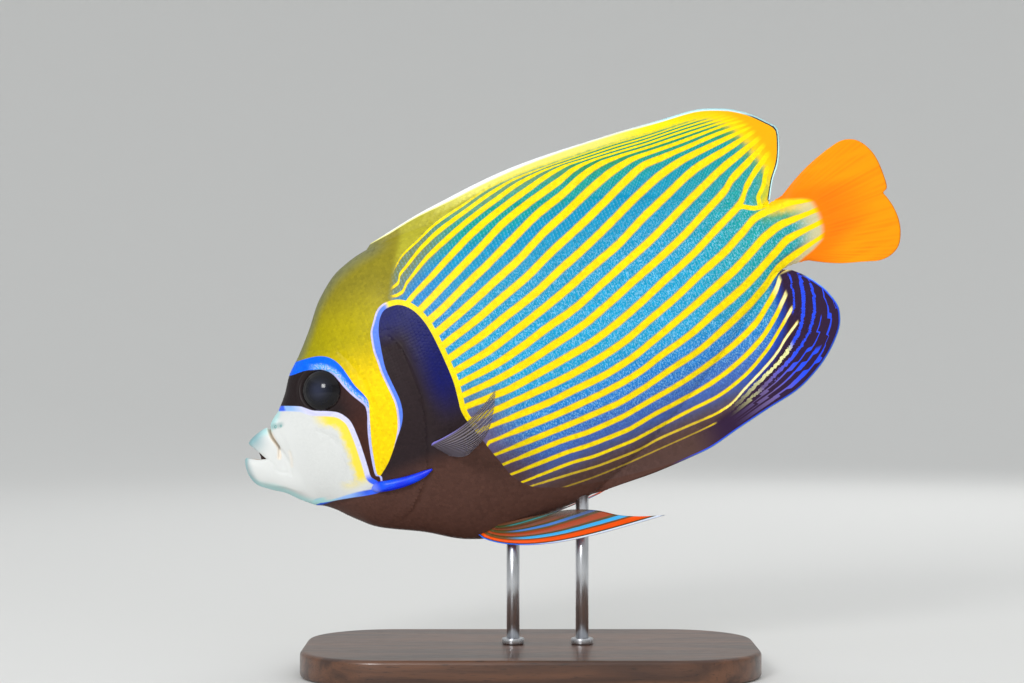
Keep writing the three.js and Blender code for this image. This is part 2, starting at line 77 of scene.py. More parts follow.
def through(points, straightOn=False):
    x, y = np.array(points, float).T
    slope = np.diff(y) / np.diff(x)
    product = slope[:-1] * slope[1:]
    total = np.where(product > 0, slope[:-1] + slope[1:], 1.0)
    inner = np.where(product > 0, 2 * product / total, 0.0)
    tangent = np.concatenate([slope[:1], inner, slope[-1:]])

    def at(value):
        value = np.asarray(value, float)
        held = np.clip(value, x[0], x[-1])
        i = np.clip(np.searchsorted(x, held) - 1, 0, len(x) - 2)
        width = x[i + 1] - x[i]
        rise = y[i + 1] - y[i]
        t = (held - x[i]) / width
        bend = (1 - t) * (tangent[i] * width - rise) - t * (tangent[i + 1] * width - rise)
        result = y[i] + rise * t + t * (1 - t) * bend
        if straightOn:
            result = result + np.where(value < x[0], slope[0], slope[-1]) * (value - held)
        return result

    return at


def smoothLine(points, steps=8, closed=False):
    p = np.array(points, float)
    if closed:
        p = np.vstack([p[-1:], p, p[:2]])
    else:
        p = np.vstack([2 * p[:1] - p[1:2], p, 2 * p[-1:] - p[-2:-1]])
    t = np.linspace(0, 1, steps, endpoint=False)[:, None]
    parts = []
    for a, b, c, d in zip(p[:-3], p[1:-2], p[2:-1], p[3:]):
        bend = (2 * a - 5 * b + 4 * c - d) * t**2 + (3 * b - a - 3 * c + d) * t**3
        parts.append(0.5 * (2 * b + (c - a) * t + bend))
    return np.vstack(parts + [p[-2:-1]])


def travelledAlong(line):
    # length of the line up to each of its points
    return np.concatenate([[0], np.cumsum(np.linalg.norm(np.diff(line, axis=0), axis=-1))])


def boxedBy(points, line, reach):
    low, high = line.min(0) - reach, line.max(0) + reach
    return np.flatnonzero(((points > low) & (points < high)).all(1))


def distanceTo(points, line, reach=1000.0):
    # distance to a line, or reach where it is farther
    best = np.full(len(points), reach)
    near = boxedBy(points, line, reach)
    x, y = points[near].T
    squared = np.full(len(near), reach**2)
    for (ax, ay), (bx, by) in zip(line[:-1], line[1:]):
        stepX, stepY = bx - ax, by - ay
        t = np.clip(((x - ax) * stepX + (y - ay) * stepY) / max(stepX**2 + stepY**2, 1e-9), 0, 1)
        squared = np.minimum(squared, (x - ax - t * stepX) ** 2 + (y - ay - t * stepY) ** 2)
    best[near] = np.sqrt(squared)
    return best


def outsideOf(points, line, reach=12.0):
    # signed distance to a closed outline, positive outside it
    near = boxedBy(points, line, 0.0)
    inside = np.zeros(len(near), bool)
    x, y = points[near].T
    for (x0, y0), (x1, y1) in zip(line, np.roll(line, -1, 0)):
        if y0 != y1:
            inside ^= ((y0 > y) != (y1 > y)) & (x < (x1 - x0) * (y - y0) / (y1 - y0) + x0)
    way = np.ones(len(points))
    way[near] = np.where(inside, -1, 1)
    return distanceTo(points, np.vstack([line, line[:1]]), reach) * way


def smoothStep(low, high, value):
    t = np.clip((value - low) / (high - low), 0, 1)
    return t * t * (3 - 2 * t)


# Body shape, the same profile as the solids under it

body = {
    "skinDepth": 0.15,      # the skin lies this far inside the solids, the scales fill the rest
    "back": [(-4, -9), (-2.2, -3), (1.5, 2.5), (4, 4.5), (9, 6.2), (12.4, 6.3), (13.4, 5.8), (15, 7.7),
             (17.5, 9.5), (21, 12.7), (26, 18), (31, 25), (38, 31.5), (47, 41), (57, 52.5), (70, 61.5),
             (85, 65.5), (100, 66.5), (120, 65.5), (150, 61.5), (180, 53.5), (210, 43), (240, 29),
             (256, 19.5), (265, 15.4), (272, 16.4), (280, 18.6)],
    "belly": [(-4, -11.5), (-1.7, -16.7), (2.1, -20.4), (5.8, -22.5), (10, -25.8), (19.2, -35.2),
              (23.3, -37.4), (28, -41.4), (31, -44.8), (35.5, -49.6), (41, -54.6), (60, -65.2), (80, -77),
              (90, -79.8), (130, -79.7), (142, -78.8), (150, -76.8), (170, -69.5), (190, -60), (210, -49),
              (230, -36.5), (250, -22.5), (259, -15.8), (266, -14.9), (272, -15.6), (280, -17.8)],
    "halfWidth": [(-4, 1.3), (-2, 3.6), (0, 4.8), (4, 6), (9, 7.1), (12.6, 7.6), (13.8, 7.5), (17, 9.4),
                  (30, 14.3), (40, 17), (60, 21), (80, 24), (110, 25), (150, 22), (190, 16), (220, 11),
                  (250, 6.6), (266, 4.6), (280, 3.6)],
    "widest": [(-4, -10), (5, -8), (40, -5), (80, -8), (120, -4), (200, 0), (280, 1)],
    "sharpness": [(-4, 0.8), (20, 0.95), (60, 1.1), (100, 1.3), (200, 1.35), (280, 1.2)],
    "stalkEnd": 274.0,
}
backAt = through(body["back"])
bellyAt = through(body["belly"])
widthAt = through(body["halfWidth"])
widestAt = through(body["widest"])
sharpnessAt = through(body["sharpness"])

medianFins = {
    # root along the ridge, then the point of the margin that its ray reaches
    "dorsal": [(86, 88, 67.4), (110, 119, 72.5), (150, 163, 75.7), (190, 212, 72.7), (208, 234, 70.4),
               (220, 250, 68.9), (232, 264, 64.2), (240, 273, 58.5), (246, 280, 51.4), (250, 283.7, 46),
               (254, 281.5, 38.5), (258, 277.8, 31), (262, 273.2, 25.6), (266, 268, 17)],
    "anal": [(141, 143, -79.2), (152, 156, -79.8), (165, 172, -80.5), (183, 196, -79.9), (196, 215, -76.1),
             (208, 231, -72.8), (219, 246, -70), (229, 259, -64.4), (238, 270.5, -56), (245, 277.4, -47.2),
             (249, 279, -40.6), (253, 277, -32.6), (256.5, 272, -24), (260, 264, -15.9)],
    "dorsalRays": 34,
    "analRays": 23,
    "rootHalf": 1.5,        # half thickness where the fin grows out of the ridge
    "rootSwell": (8.0, 5.0),    # lengths over which the root thickens at its start and thins at its end
    "edgeHalf": 0.28,
    "edgeTaper": 0.93,      # share of the height where the edge starts to close
    "rootFade": 7.0,        # height over which the root thins to the membrane
    "rayHigh": 0.16,
    "rayStart": (2, 9),     # height over which the rays rise from the root
}
tailFin = {
    "margin": [(301, 28.6), (308.5, 30), (314, 28.6), (317.6, 25.3), (320.3, 19.8), (321.3, 13.5),
               (321.1, 5.5), (320.3, 1.6), (318, 0.3), (318.9, -2.6), (320, -8), (320, -14.2), (318.5, -20),
               (315.4, -25.2), (310.5, -27.9), (304.5, -28.2), (298, -26)],
    "rays": 17,
    "edgeBow": 1.2,
    "edgeHalf": 0.25,
    "rayHigh": 0.13,
    "rayStart": (0.02, 0.2),    # share of the length over which the rays rise
    "rootFade": 0.4,            # share of the length over which the stalk thins
}

finAlong, finUp, finEnds = {}, {}, {}
for name in ("dorsal", "anal"):
    rays = np.array(medianFins[name], float)
    finAlong[name] = through(rays[:, :2], True)
    finUp[name] = through(rays[:, [0, 2]], True)
    finEnds[name] = rays[0, 0], rays[-1, 0]

grid = {
    "mouthRows": 72,
    "headStart": 20.0,
    "headRows": 92,         # from headStart to torsoStart
    "torsoStart": 92.0,
    "torsoRows": 150,       # from torsoStart to the tail stalk's end
    "tailRows": 46,
    "tailCrowding": 0.85,   # below 1, so that they crowd towards the tail fin's margin
    "throat": (0.13, 0.21),     # shares of the mouth's rows between which its painted shade inside ends
    "sideColumns": 88,      # down one side of the body
    "finColumns": 26,       # up one side of a median fin
    "ridgeCrowding": 0.4,   # share of the columns that crowd at the ridges
}


def columnLayout():
    # zone of every column round the body, its side and how far it is along its zone
    down = np.linspace(0, 1, grid["sideColumns"] + 1)
    rise = np.linspace(0, 1, grid["finColumns"] + 1)
    runs = [("dorsal", -1, rise[::-1][:-1]), ("side", -1, down), ("anal", -1, rise[1:]),
            ("anal", 1, rise[::-1][1:-1]), ("side", 1, down[::-1]), ("dorsal", 1, rise[1:])]
    return [(zone, side, t) for zone, side, shares in runs for t in shares]


def sideAngle(t):
    crowding = grid["ridgeCrowding"]
    spread = (1 - crowding) * t + crowding * (1 - np.cos(np.pi * t)) / 2
    return np.arccos(1 - 2 * spread)


def flank(along, angle, side, grow=0.0):
    # a place on the body, from the back at angle 0 to the belly at half a turn
    middle = widestAt(along)
    reach = np.where(np.cos(angle) > 0, backAt(along) + grow - middle, middle - bellyAt(along) + grow)
    half = (widthAt(along) + grow) * np.abs(np.sin(angle)) ** sharpnessAt(along)
    return np.stack([along + 0 * half, side * half, middle + reach * np.cos(angle)], -1)


def fleshAt(along, up):
    # half width of the body at a height
    middle = widestAt(along)
    reach = np.where(up > middle, backAt(along) - middle, middle - bellyAt(along))
    rise = np.clip(abs(up - middle) / reach, 0, 1)
    return widthAt(along) * (1 - rise**2) ** (sharpnessAt(along) / 2)


def ridgeAngle(along, half):
    # angle at which the flank is as thick as the root of a fin
    share = np.clip(half / widthAt(along), 0, 0.9)
    return np.arcsin(share ** (1 / sharpnessAt(along)))


def finRoot(name, along):
    start, end = finEnds[name]
    swell, thin = medianFins["rootSwell"]
    share = smoothStep(start - 1, start + swell, along) * smoothStep(end + 1, end - thin, along)
    return medianFins["rootHalf"] * share


def ripple(turns):
    # between 0 and 1, full at every whole turn
    return 0.5 + 0.5 * np.cos(2 * np.pi * turns)


def skinPlace(along, zone, side, t):
    # a place on the skin at a station of the body, with the median fins' rays leaning back from it
    grow = -body["skinDepth"]
    topAngle = ridgeAngle(along, finRoot("dorsal", along))
    lowAngle = np.pi - ridgeAngle(along, finRoot("anal", along))
    if zone == "side":
        return flank(along, topAngle + (lowAngle - topAngle) * sideAngle(t) / np.pi, side, grow)
    rootHalf = finRoot(zone, along)
    root = flank(along, topAngle if zone == "dorsal" else lowAngle, side, grow)
    tip = np.stack([finAlong[zone](along), 0 * along, finUp[zone](along)], -1)
    start, end = finEnds[zone]
    held = (along >= start) & (along <= end)
    reach = np.where(held, 1.0, 0.0)[..., None] * (tip - root) * [1, 0, 1]
    t = np.asarray(t)
    place = root + reach * t[..., None]
    length = np.hypot(reach[..., 0], reach[..., 2]) * t
    edge = medianFins["edgeHalf"]
    half = edge + np.maximum(rootHalf - edge, 0) * np.exp(-(length / medianFins["rootFade"]) ** 1.3)
    wave = ripple(medianFins[zone + "Rays"] * (along - start) / (end - start))
    half = half + medianFins["rayHigh"] * wave * smoothStep(*medianFins["rayStart"], length) * (1 - 0.5 * t)
    half = half * smoothStep(1.0, medianFins["edgeTaper"], t)
    half = np.where(rootHalf < edge, np.minimum(half, rootHalf), half)
    place[..., 1] = np.where(held, side * half, root[..., 1] * (1 - t))
    return place


def tailPlace(v, side, t):
    # a place on the tail fin, v of the way from the stalk to the margin and t of the way down
    root = flank(body["stalkEnd"] + 0 * v, sideAngle(t) + 0 * v, side, -body["skinDepth"])
    margin = smoothLine(tailFin["margin"], 12)
    steps = travelledAlong(margin)
    tip = np.array([np.interp(t, steps / steps[-1], margin[:, k]) for k in (0, 1)])
    edge = 2 * t - 1
    bow = -tailFin["edgeBow"] * edge * abs(edge) * np.sin(np.pi * v)
    along = root[..., 0] + (tip[0] - root[..., 0]) * v
    up = root[..., 2] + (tip[1] - root[..., 2]) * v + bow
    wave = ripple(tailFin["rays"] * t) * smoothStep(*tailFin["rayStart"], v) * (1 - 0.6 * v)
    thin = tailFin["edgeHalf"] + tailFin["rayHigh"] * wave
    thin = thin * np.clip(12 * min(t, 1 - t), 0, 1) ** 0.5 * (v < 0.9999)
    stalk = np.maximum(np.abs(root[..., 1]) - thin, 0)
    across = thin + stalk * (1 - smoothStep(0, tailFin["rootFade"], v)) ** 1.5
    return np.stack([along, side * across, up], -1)


# Guide lines from the throat over the lips to the muzzle, from the top of the mouth down to its chin

mouthGuides = [
    [(4.4, 0, -5), (4.3, 0, -2.6), (4.2, 0, -0.7), (2.4, 0, 1.1), (1.4, 0, 2.6), (3.8, 0, 4.4),
     (8.5, 0, 5.9), (11.7, 0, 6.3), (13.1, 0, 5.6), (14.5, 0, 7.4), (17, 0, 9.6)],
    [(4.4, 0, -5), (4.5, 1.7, -2.9), (4.7, 2.3, -1.2), (3.2, 2.8, 0.2), (2.3, 3.4, 1.6), (4.2, 4.3, 3.3),
     (8.6, 4.9, 4.6), (11.9, 5.0, 4.8), (13.2, 4.6, 4.1), (14.7, 5.1, 5.5), (17.2, 5.8, 7.3)],
    [(4.4, 0, -5), (5.5, 2.7, -4.0), (6.1, 3.7, -3.9), (5.4, 4.6, -3.2), (4.7, 5.4, -2.2), (6.3, 6.3, -0.9),
     (9.4, 6.9, 0.4), (12.4, 7.1, 0.5), (13.8, 6.6, 0.1), (15.2, 7.4, 0.8), (17.6, 8.3, 1.6)],
    [(4.4, 0, -5), (6.2, 3.2, -5.4), (7.3, 4.5, -6.4), (7.6, 5.5, -7.1), (7.3, 6.3, -7.3), (8.6, 7.2, -7.3),
     (10.8, 7.6, -7.2), (13, 7.8, -7.2), (14.7, 7.6, -7.3), (16.2, 8.4, -7.2), (18, 9.5, -7.1)],
    [(4.4, 0, -5), (5.2, 2.7, -6.4), (5.3, 3.9, -7.0), (4.6, 4.8, -6.9), (3.6, 5.6, -6.2), (3.0, 6.5, -8.2),
     (4.4, 7.1, -10.9), (7.4, 7.5, -13.8), (11, 7.7, -16), (14.4, 8.2, -17.2), (17.4, 8.9, -18.2)],
    [(4.4, 0, -5), (4.1, 1.7, -6.7), (2.8, 2.4, -6.4), (0.8, 2.9, -5.0), (-0.5, 3.6, -4.1),
     (-1.7, 4.6, -6.2), (-1.6, 5.1, -10.6), (1.0, 5.4, -15.6), (6.4, 6.0, -19.4), (10.8, 6.6, -22.3),
     (15.2, 7.0, -25.6)],
    [(4.4, 0, -5), (3.8, 0, -6.8), (1.8, 0, -6.0), (-1.0, 0, -4.2), (-2.4, 0, -3.1), (-3.7, 0, -6.3),
     (-4.0, 0, -11.3), (-1.9, 0, -16.7), (3.6, 0, -21.3), (8.8, 0, -24.9), (13.8, 0, -30.2)],
]


def mouthPlaces(side, downs, rows):
    # rows of places for columns at downs, 0 at the top of the body and 1 at the bottom
    guides = np.array(mouthGuides, float)
    at = np.linspace(0, 1, len(guides))
    count, between = guides.shape[1], 10
    ring = np.array([grid["headStart"], grid["headStart"] + 4])
    columns = []
    for t in downs:
        line = [[float(through(np.c_[at, guides[:, k, axis]])(t)) for axis in range(3)] for k in range(count)]
        close = skinPlace(ring, "side", side, np.array([t, t]))
        line = np.vstack([np.array(line) * [1, side, 1], close])
        columns.append(smoothLine(line, between)[:count * between + 1])
    travelled = np.mean([travelledAlong(line) for line in columns], 0)
    wanted = np.linspace(0, travelled[-1], rows + 1)
    places = [[np.interp(wanted, travelled, values) for values in line.T] for line in columns]
    return np.stack(places).transpose(2, 0, 1)


# Relief of the head, as height over the skin

eyeSpot = (43.2, 12.6)
relief = {
    "orbitRadius": 10.1,
    "orbitRim": (0.75, 1.0),        # height and width
    "orbitSwell": (0.8, 14),
    "orbitDepth": 1.6,
    "orbitSlope": (0.6, 2.2),       # from where to where inside the rim it falls
    "gillEdge": [(77, 28), (82.5, 22), (85, 12), (85.2, 0), (83.6, -12), (81, -22), (78, -31), (74, -40),
                 (66.5, -49), (57.5, -55.5), (48, -58)],
    "cheekEdge": [(57, 26), (61, 16), (62.5, 5), (61.5, -8), (58.5, -20), (54.5, -31), (50, -36.8),
                  (42, -39.2), (32, -38.6)],
    "gillRise": (0.65, 7),          # height ahead of the gill opening and how far it reaches
    "gillDip": (0.35, 3.5),         # depth behind it
    "gillFade": [(29, 20), (-58, -50)],
    "cheekGroove": (0.3, 1.6),
    # creases round the mouth: line, depth and half width
    "creases": [
        ([(13.0, 9), (13.1, 5.2), (13.3, 1.3), (14.2, -2.3), (14.6, -4.4), (13.8, -7), (13, -8.6)], 0.7, 0.8),
        ([(15.0, -6), (15.9, -10), (16.2, -14), (15, -18)], 0.28, 1.3),
        ([(18.6, -8), (18.2, -11), (17, -14.5)], 0.2, 0.9),
        ([(9.6, -13.6), (11.2, -15.4), (14, -16.4)], 0.22, 0.9),
        ([(8.2, -8.6), (9.4, -11), (9.2, -13)], 0.22, 1.0),
        ([(0.5, -19.6), (5, -20.6), (9, -22.5), (13, -26)], 0.2, 1.4),
        ([(34, -4), (39, -9), (41.5, -16), (41.5, -24), (39, -31)], 0.22, 1.6),
    ],
    "eyeFolds": [(12.0, 0.2), (13.7, 0.1)],
    "pectoralBase": (83.0, -34.0),
    "pectoralSwell": (1.1, 5.5),
    "foldFade": (-6, 4),            # they are fainter ahead of the eye
    "foldHalf": 0.5,
    "start": (5, 9),                # all of it starts behind the lips
    "end": 272,
    "lumps": (0.12, 18),            # height and size of the soft unevenness
}


def headRelief(along, up):
    places = np.stack([along, up], -1)
    radius = np.hypot(along - eyeSpot[0], up - eyeSpot[1])
    rim = relief["orbitRadius"]
    rimHigh, rimWide = relief["orbitRim"]
    swell, swellWide = relief["orbitSwell"]
    high = rimHigh * np.exp(-((radius - rim) / rimWide) ** 2) + swell * np.exp(-(radius / swellWide) ** 2)
    outer, inner = relief["orbitSlope"]
    high -= relief["orbitDepth"] * smoothStep(rim - outer, rim - inner, radius)
    gill = smoothLine(relief["gillEdge"])
    gap = distanceTo(places, gill, 8.0)
    ahead = along < np.interp(-up, -gill[:, 1], gill[:, 0])
    (rise, riseWide), (dip, dipWide) = relief["gillRise"], relief["gillDip"]
    fade = math.prod(smoothStep(*ends, up) for ends in relief["gillFade"])
    high += fade * np.where(ahead, rise * smoothStep(riseWide, 0, gap), -dip * smoothStep(dipWide, 0, gap))
    for line, depth, half in [(relief["cheekEdge"], *relief["cheekGroove"])] + relief["creases"]:
        high -= depth * smoothStep(half, 0, distanceTo(places, smoothLine(line), 3.0))
    behindEye = 0.4 + 0.6 * smoothStep(*relief["foldFade"], along - eyeSpot[0])
    for ring, depth in relief["eyeFolds"]:
        high -= depth * behindEye * np.exp(-((radius - ring) / relief["foldHalf"]) ** 2)
    base = np.hypot(along - relief["pectoralBase"][0], up - relief["pectoralBase"][1])
    swell, swellWide = relief["pectoralSwell"]
    return high + swell * np.exp(-(base / swellWide) ** 2)


def softLumps(places, size, seed):
    # smooth random unevenness between -1 and 1
    random = np.random.default_rng(seed)
    total = np.zeros(len(places))
    for _ in range(9):
        way = random.normal(size=3)
        way *= 2 * np.pi / (size * np.linalg.norm(way) * random.uniform(0.7, 1.5))
        total += np.sin(places @ way + random.uniform(0, 6.28))
    return total / 4


# Markings, as distances to outlines chosen on the side of the fish

markings = {
    "muzzle": [(8, 17), (19.5, 13.8), (22, 13), (25, 11.8), (30, 9.5), (32.5, 7.4), (35, 5.4), (40, 3.2),
               (45, 0.5), (47.8, -2.9), (49.2, -6.8), (49.4, -14.5), (49, -22), (48.5, -28.3), (48.2, -33),
               (50.2, -36), (51.5, -39), (49.5, -41), (44, -40.3), (38, -38.9), (32, -37.5), (26, -36.3),
               (20, -35.3), (15, -38), (8, -46), (-30, -46), (-30, 17)],
    "browInner": [(24, 25.5), (31.5, 24.5), (38, 24.2), (42, 23), (46, 21.5), (49, 18.5), (50.7, 15),
                  (52.3, 10), (54.5, 5), (57, 0.6), (58, -2), (57.3, -6), (55, -12), (53, -19), (51.2, -27),
                  (50.4, -33), (51.5, -37), (40, -60), (-20, -60), (-20, 25.5)],
    "browOuter": [(24, 30.5), (33, 29.7), (42, 29), (48, 27.5), (52, 24.5), (54.5, 20), (56, 14), (57.2, 9),
                  (59.3, 4), (60.2, 0), (58.9, -4.5), (56.7, -11), (54.2, -19), (52.3, -27), (51.3, -33),
                  (52.4, -37), (41, -60), (-20, -60), (-20, 30.5)],
    "dark": [(79.5, 33.5), (83, 36.5), (88, 36.8), (92, 35), (95.5, 31), (98, 25), (99.3, 18), (99.9, 10),
             (100.3, 0), (100.2, -7), (99.2, -15), (98.5, -20), (99.4, -26), (102.5, -36), (104.5, -43),
             (106.5, -49), (109, -57), (113, -62.5), (119, -66.8), (135, -72.5), (160, -77), (185, -79.5),
             (215, -78), (240, -84), (200, -100), (20, -100), (14, -36), (20, -33.5), (30, -34), (40, -35),
             (49, -36.2), (53, -33.8), (58, -30), (62, -25.8), (66.5, -20.5), (70, -16.5), (72.8, -11.5),
             (74, -5), (73.6, 4), (73.3, 11), (74.2, 17), (75.2, 22), (76.7, 28)],
    "lobe": [(232, 71.5), (240, 68), (249, 64.5), (257, 60.5), (262.5, 55), (266, 48), (268, 40), (270, 33),
             (270.5, 27), (268, 20), (263.5, 15.6), (268, 10), (300, 10), (300, 60), (270, 75), (240, 76)],
    # where the orange of the tail starts, by height
    "tailEdge": [(-30, 260), (-15, 270), (-12, 278), (-9, 283.5), (-3, 286), (2, 286.5), (8, 286),
                 (11.5, 283), (14.5, 275), (17, 268), (30, 262)],
    "fork": [(252, 19.2), (255, 18.7), (257.5, 17.2), (260, 15.9), (263, 15.4), (266, 15.6)],
    "extra": [(262.7, 16.3), (263.5, 20), (266, 22.5), (268, 24.5), (270, 28), (272.3, 31)],
    # top and bottom of the tail fin's orange
    "tailTop": [(268, 16.5), (288, 37.5)],
    "tailBottom": [(264, -16), (284, -27)],
    # dark part of the anal fin
    "analZone": [(185, -73.5), (200, -70), (212, -67.5), (222, -63), (232, -58.5), (240, -54), (247, -48),
                 (252, -42), (255.5, -34), (257, -27), (258.3, -19.5), (262, -12), (290, -12), (290, -60),
                 (240, -90), (185, -90)],
}
# fine lines of the anal fin, which turn up along its rear edge, from the inner one out
analLines = [
    [(185, -73), (200, -70.8), (207, -69.4), (212, -67.5), (220, -64.7), (230, -60.3), (240, -56.2),
     (246, -53.3), (250, -50.9), (254, -48), (257.5, -45), (260, -42), (262, -38.5), (264.5, -33.5),
     (266.3, -28.5), (266.7, -25), (267.5, -22.3), (268, -8)],
    [(185, -75), (200, -72.6), (214, -69.2), (220, -67.1), (230, -63.7), (236, -61.1), (242, -58.4),
     (250, -55), (255, -52), (260, -48.8), (264, -44.5), (266.5, -40.8), (268.3, -38), (269.8, -33.5),
     (271, -28), (272, -8)],
    [(185, -77), (200, -74), (212, -71.2), (220, -69.2), (230, -66), (240, -62), (248, -59.2), (255, -56),
     (263, -52.2), (265.5, -49.3), (268, -45), (269.6, -41.8), (271.5, -36), (272.6, -28), (273.6, -8)],
    [(185, -79), (200, -75.4), (215, -71.9), (225, -69.4), (235, -66.4), (243, -63.6), (250, -61.2),
     (257, -58.4), (260, -57), (264, -54.8), (268, -50.5), (270.8, -45.5), (272, -40), (272.8, -34),
     (274, -26), (275, -8)],
    [(185, -81), (203, -76), (212, -74.2), (222, -72.2), (232, -69.8), (240, -67.8), (248, -65.8),
     (254, -63.2), (260, -61), (264, -57.8), (267, -53.5), (271, -48.7), (273.2, -44.5), (273.5, -40),
     (273.6, -35), (275, -26), (277, -8)],
]
analLine = {
    "reach": (190, -9),     # the lines lie behind and below this place
    "corners": [(320, -8), (320, -120), (185, -120)],
    "before": 4.0,          # spacing inside the first line and outside the last
    "after": 3.0,
    "least": 0.5,
    "half": 0.25,           # half width
    "widest": 0.16,         # of the spacing
}
stripes = [
    # centre lines of the yellow stripes, from the back down
    [(94, 52.4), (100, 57), (110, 61), (120, 65), (135, 68.2), (150, 71.2), (165, 71.9), (180, 71.2),
     (195, 70.5), (210, 69.6), (225, 68.1), (240, 67.2), (255, 66.4)],
    [(90, 44.6), (93.8, 45.8), (95.5, 48.8), (100, 51.4), (110, 57), (120, 61), (135, 65), (150, 68.6),
     (162, 70.3), (180, 69.9), (195, 69.1), (210, 68.2), (225, 66.7), (240, 65.8), (255, 65)],
    [(88, 41.4), (91, 40.7), (94, 41.2), (97, 44), (100, 45.8), (110, 51.4), (120, 55.4), (135, 60.6),
     (150, 64.6), (165, 68.2), (175, 69), (195, 67.8), (210, 66.9), (225, 65.4), (240, 64.5), (255, 63.5)],
    [(93, 35.2), (97, 37.4), (100, 38.8), (110, 43.2), (120, 48), (135, 54.6), (150, 59.6), (165, 63.4),
     (180, 67), (186, 67.4), (195, 66.5), (210, 65.4), (225, 64), (240, 63.2), (255, 62)],
    [(100, 31), (110, 35.5), (120, 40), (135, 46.6), (150, 53.5), (165, 58), (180, 61.5), (190, 64.6),
     (195, 65), (210, 63.9), (225, 62.5), (240, 61.7), (255, 60.5)],
    [(100, 24), (110, 27.6), (120, 32), (135, 38), (150, 44.5), (165, 50.9), (180, 55.5), (195, 61),
     (203, 62.5), (210, 62.1), (225, 60.7), (240, 59.8), (255, 58.9), (270, 57.6)],
    [(105, 18.8), (120, 23.8), (135, 29.4), (150, 35), (165, 42), (180, 47.6), (195, 53.4), (210, 57.8),
     (216, 58.7), (225, 58.2), (240, 57.4), (262, 57), (272, 55.6)],
    [(105, 11.8), (120, 16), (135, 21), (150, 26), (165, 32.4), (180, 38), (195, 44), (210, 50.4),
     (222, 54.2), (240, 54.1), (255, 54.5), (270, 53.6)],
    [(105, 4.9), (120, 8.4), (135, 12.9), (150, 17.2), (165, 23), (180, 28.4), (195, 34.5), (210, 41),
     (225, 46.5), (240, 49.8), (255, 50.7), (272, 51.6)],
    [(105, -1.8), (120, 0.6), (135, 4.6), (150, 8.9), (165, 13.6), (180, 19), (195, 24), (210, 31),
     (225, 37), (240, 42.8), (250, 45), (260, 46.6), (272, 49.2)],
    [(105, -8), (120, -6.5), (135, -3.5), (150, 0.5), (165, 4), (180, 9.5), (195, 15), (210, 20.4),
     (225, 27), (240, 33.5), (255, 39.4), (270, 44)],
    [(105, -13.8), (120, -13), (135, -11), (150, -8), (165, -4.8), (180, 0), (195, 5.5), (210, 10.8),
     (225, 16.6), (240, 23.8), (250, 28.5), (255, 32.3), (260, 34.6), (270, 39.2)],
    [(105, -19.2), (120, -19.4), (135, -18), (150, -16), (165, -13.8), (180, -9.9), (195, -4.8), (210, 1),
     (225, 6.6), (240, 13.6), (250, 18), (254, 20), (257, 22.7), (260, 26.4), (264, 29.6), (268, 32.6),
     (274, 36.4)],
    [(110, -26), (135, -25), (150, -24), (165, -22), (180, -19), (195, -14), (210, -9), (225, -3),
     (240, 2.5), (250, 7.4), (260, 12), (270, 12.6), (285, 10)],
    [(110, -32), (135, -32), (150, -31), (165, -30), (180, -27.4), (195, -23), (210, -18), (225, -12.8),
     (240, -7.4), (250, -2.8), (260, 2), (270, 4.4), (284, 4.4)],
    [(103.5, -40), (105, -38.6), (135, -38.5), (150, -38), (165, -37), (180, -35), (195, -31), (210, -27.4),
     (225, -22), (240, -16.8), (250, -12.4), (260, -7.4), (270, -3), (284, -1.8)],
    [(105, -45), (135, -45), (165, -44.5), (180, -42.4), (195, -39), (210, -36), (225, -31), (240, -25),
     (250, -20), (260, -14), (270, -11), (284, -8)],
    [(110, -50.6), (135, -50.6), (150, -51.5), (165, -51), (180, -49), (195, -47), (210, -44), (225, -40),
     (240, -34), (250, -27), (255, -23), (260, -18), (266, -17.6), (284, -20)],
    [(110, -56.3), (135, -56.5), (150, -57.4), (165, -57.5), (180, -55.5), (195, -54), (210, -52),
     (225, -48), (240, -41.5), (250, -34.4), (258, -27)],
    [(112, -61.6), (135, -61.7), (150, -63), (165, -63), (180, -61.6), (195, -60), (210, -58.8), (225, -55),
     (240, -47.6), (250, -40.4), (260, -32.5)],
    [(113, -64.5), (135, -66.5), (150, -67.8), (165, -68), (180, -66.6), (195, -66.2), (205, -66),
     (214, -64.8), (225, -59.8), (240, -52.8), (246, -49.2), (250, -46), (258, -41)],
    [(120, -70.5), (150, -71.9), (180, -71), (205, -69.8), (225, -62.8), (240, -56), (258, -45)],
    [(120, -75), (150, -75.2), (180, -75), (205, -73.6), (225, -66), (240, -59.6), (258, -48.5)],
]
stripe = {
    "half": [(0, 0.95), (2, 1.1), (3, 1.4), (5, 1.6), (8, 1.6), (10, 1.54), (13, 1.42), (16, 1.14),
             (17, 0.97), (18, 0.8), (19, 0.56), (20, 0.4), (21, 0.26), (22, 0.2)],
    "slant": 0.93,          # spacing across the stripes, of the upright one
    "above": 1.2,           # spacing above the first and below the last
    "below": 4.0,
    "least": (0.95, 0.7),   # spacing upright and across
    "widest": 0.26,         # of the spacing
    # share that a stripe is wider or thinner, from where to where along the body, and for which stripes
    "taper": [(-0.45, (124, 107), (12.5, 15)), (-0.45, (126, 92), (3.8, 2.4)), (-0.14, (132, 108), (6, 9)),
              (0.32, (205, 240), (12, 15)), (-0.38, (264, 282), (12.2, 12.8))],
}
# where the markings are seen from: how far away, and the middle of the view
view = {"distance": 1100, "along": 132.4, "up": 0.7}


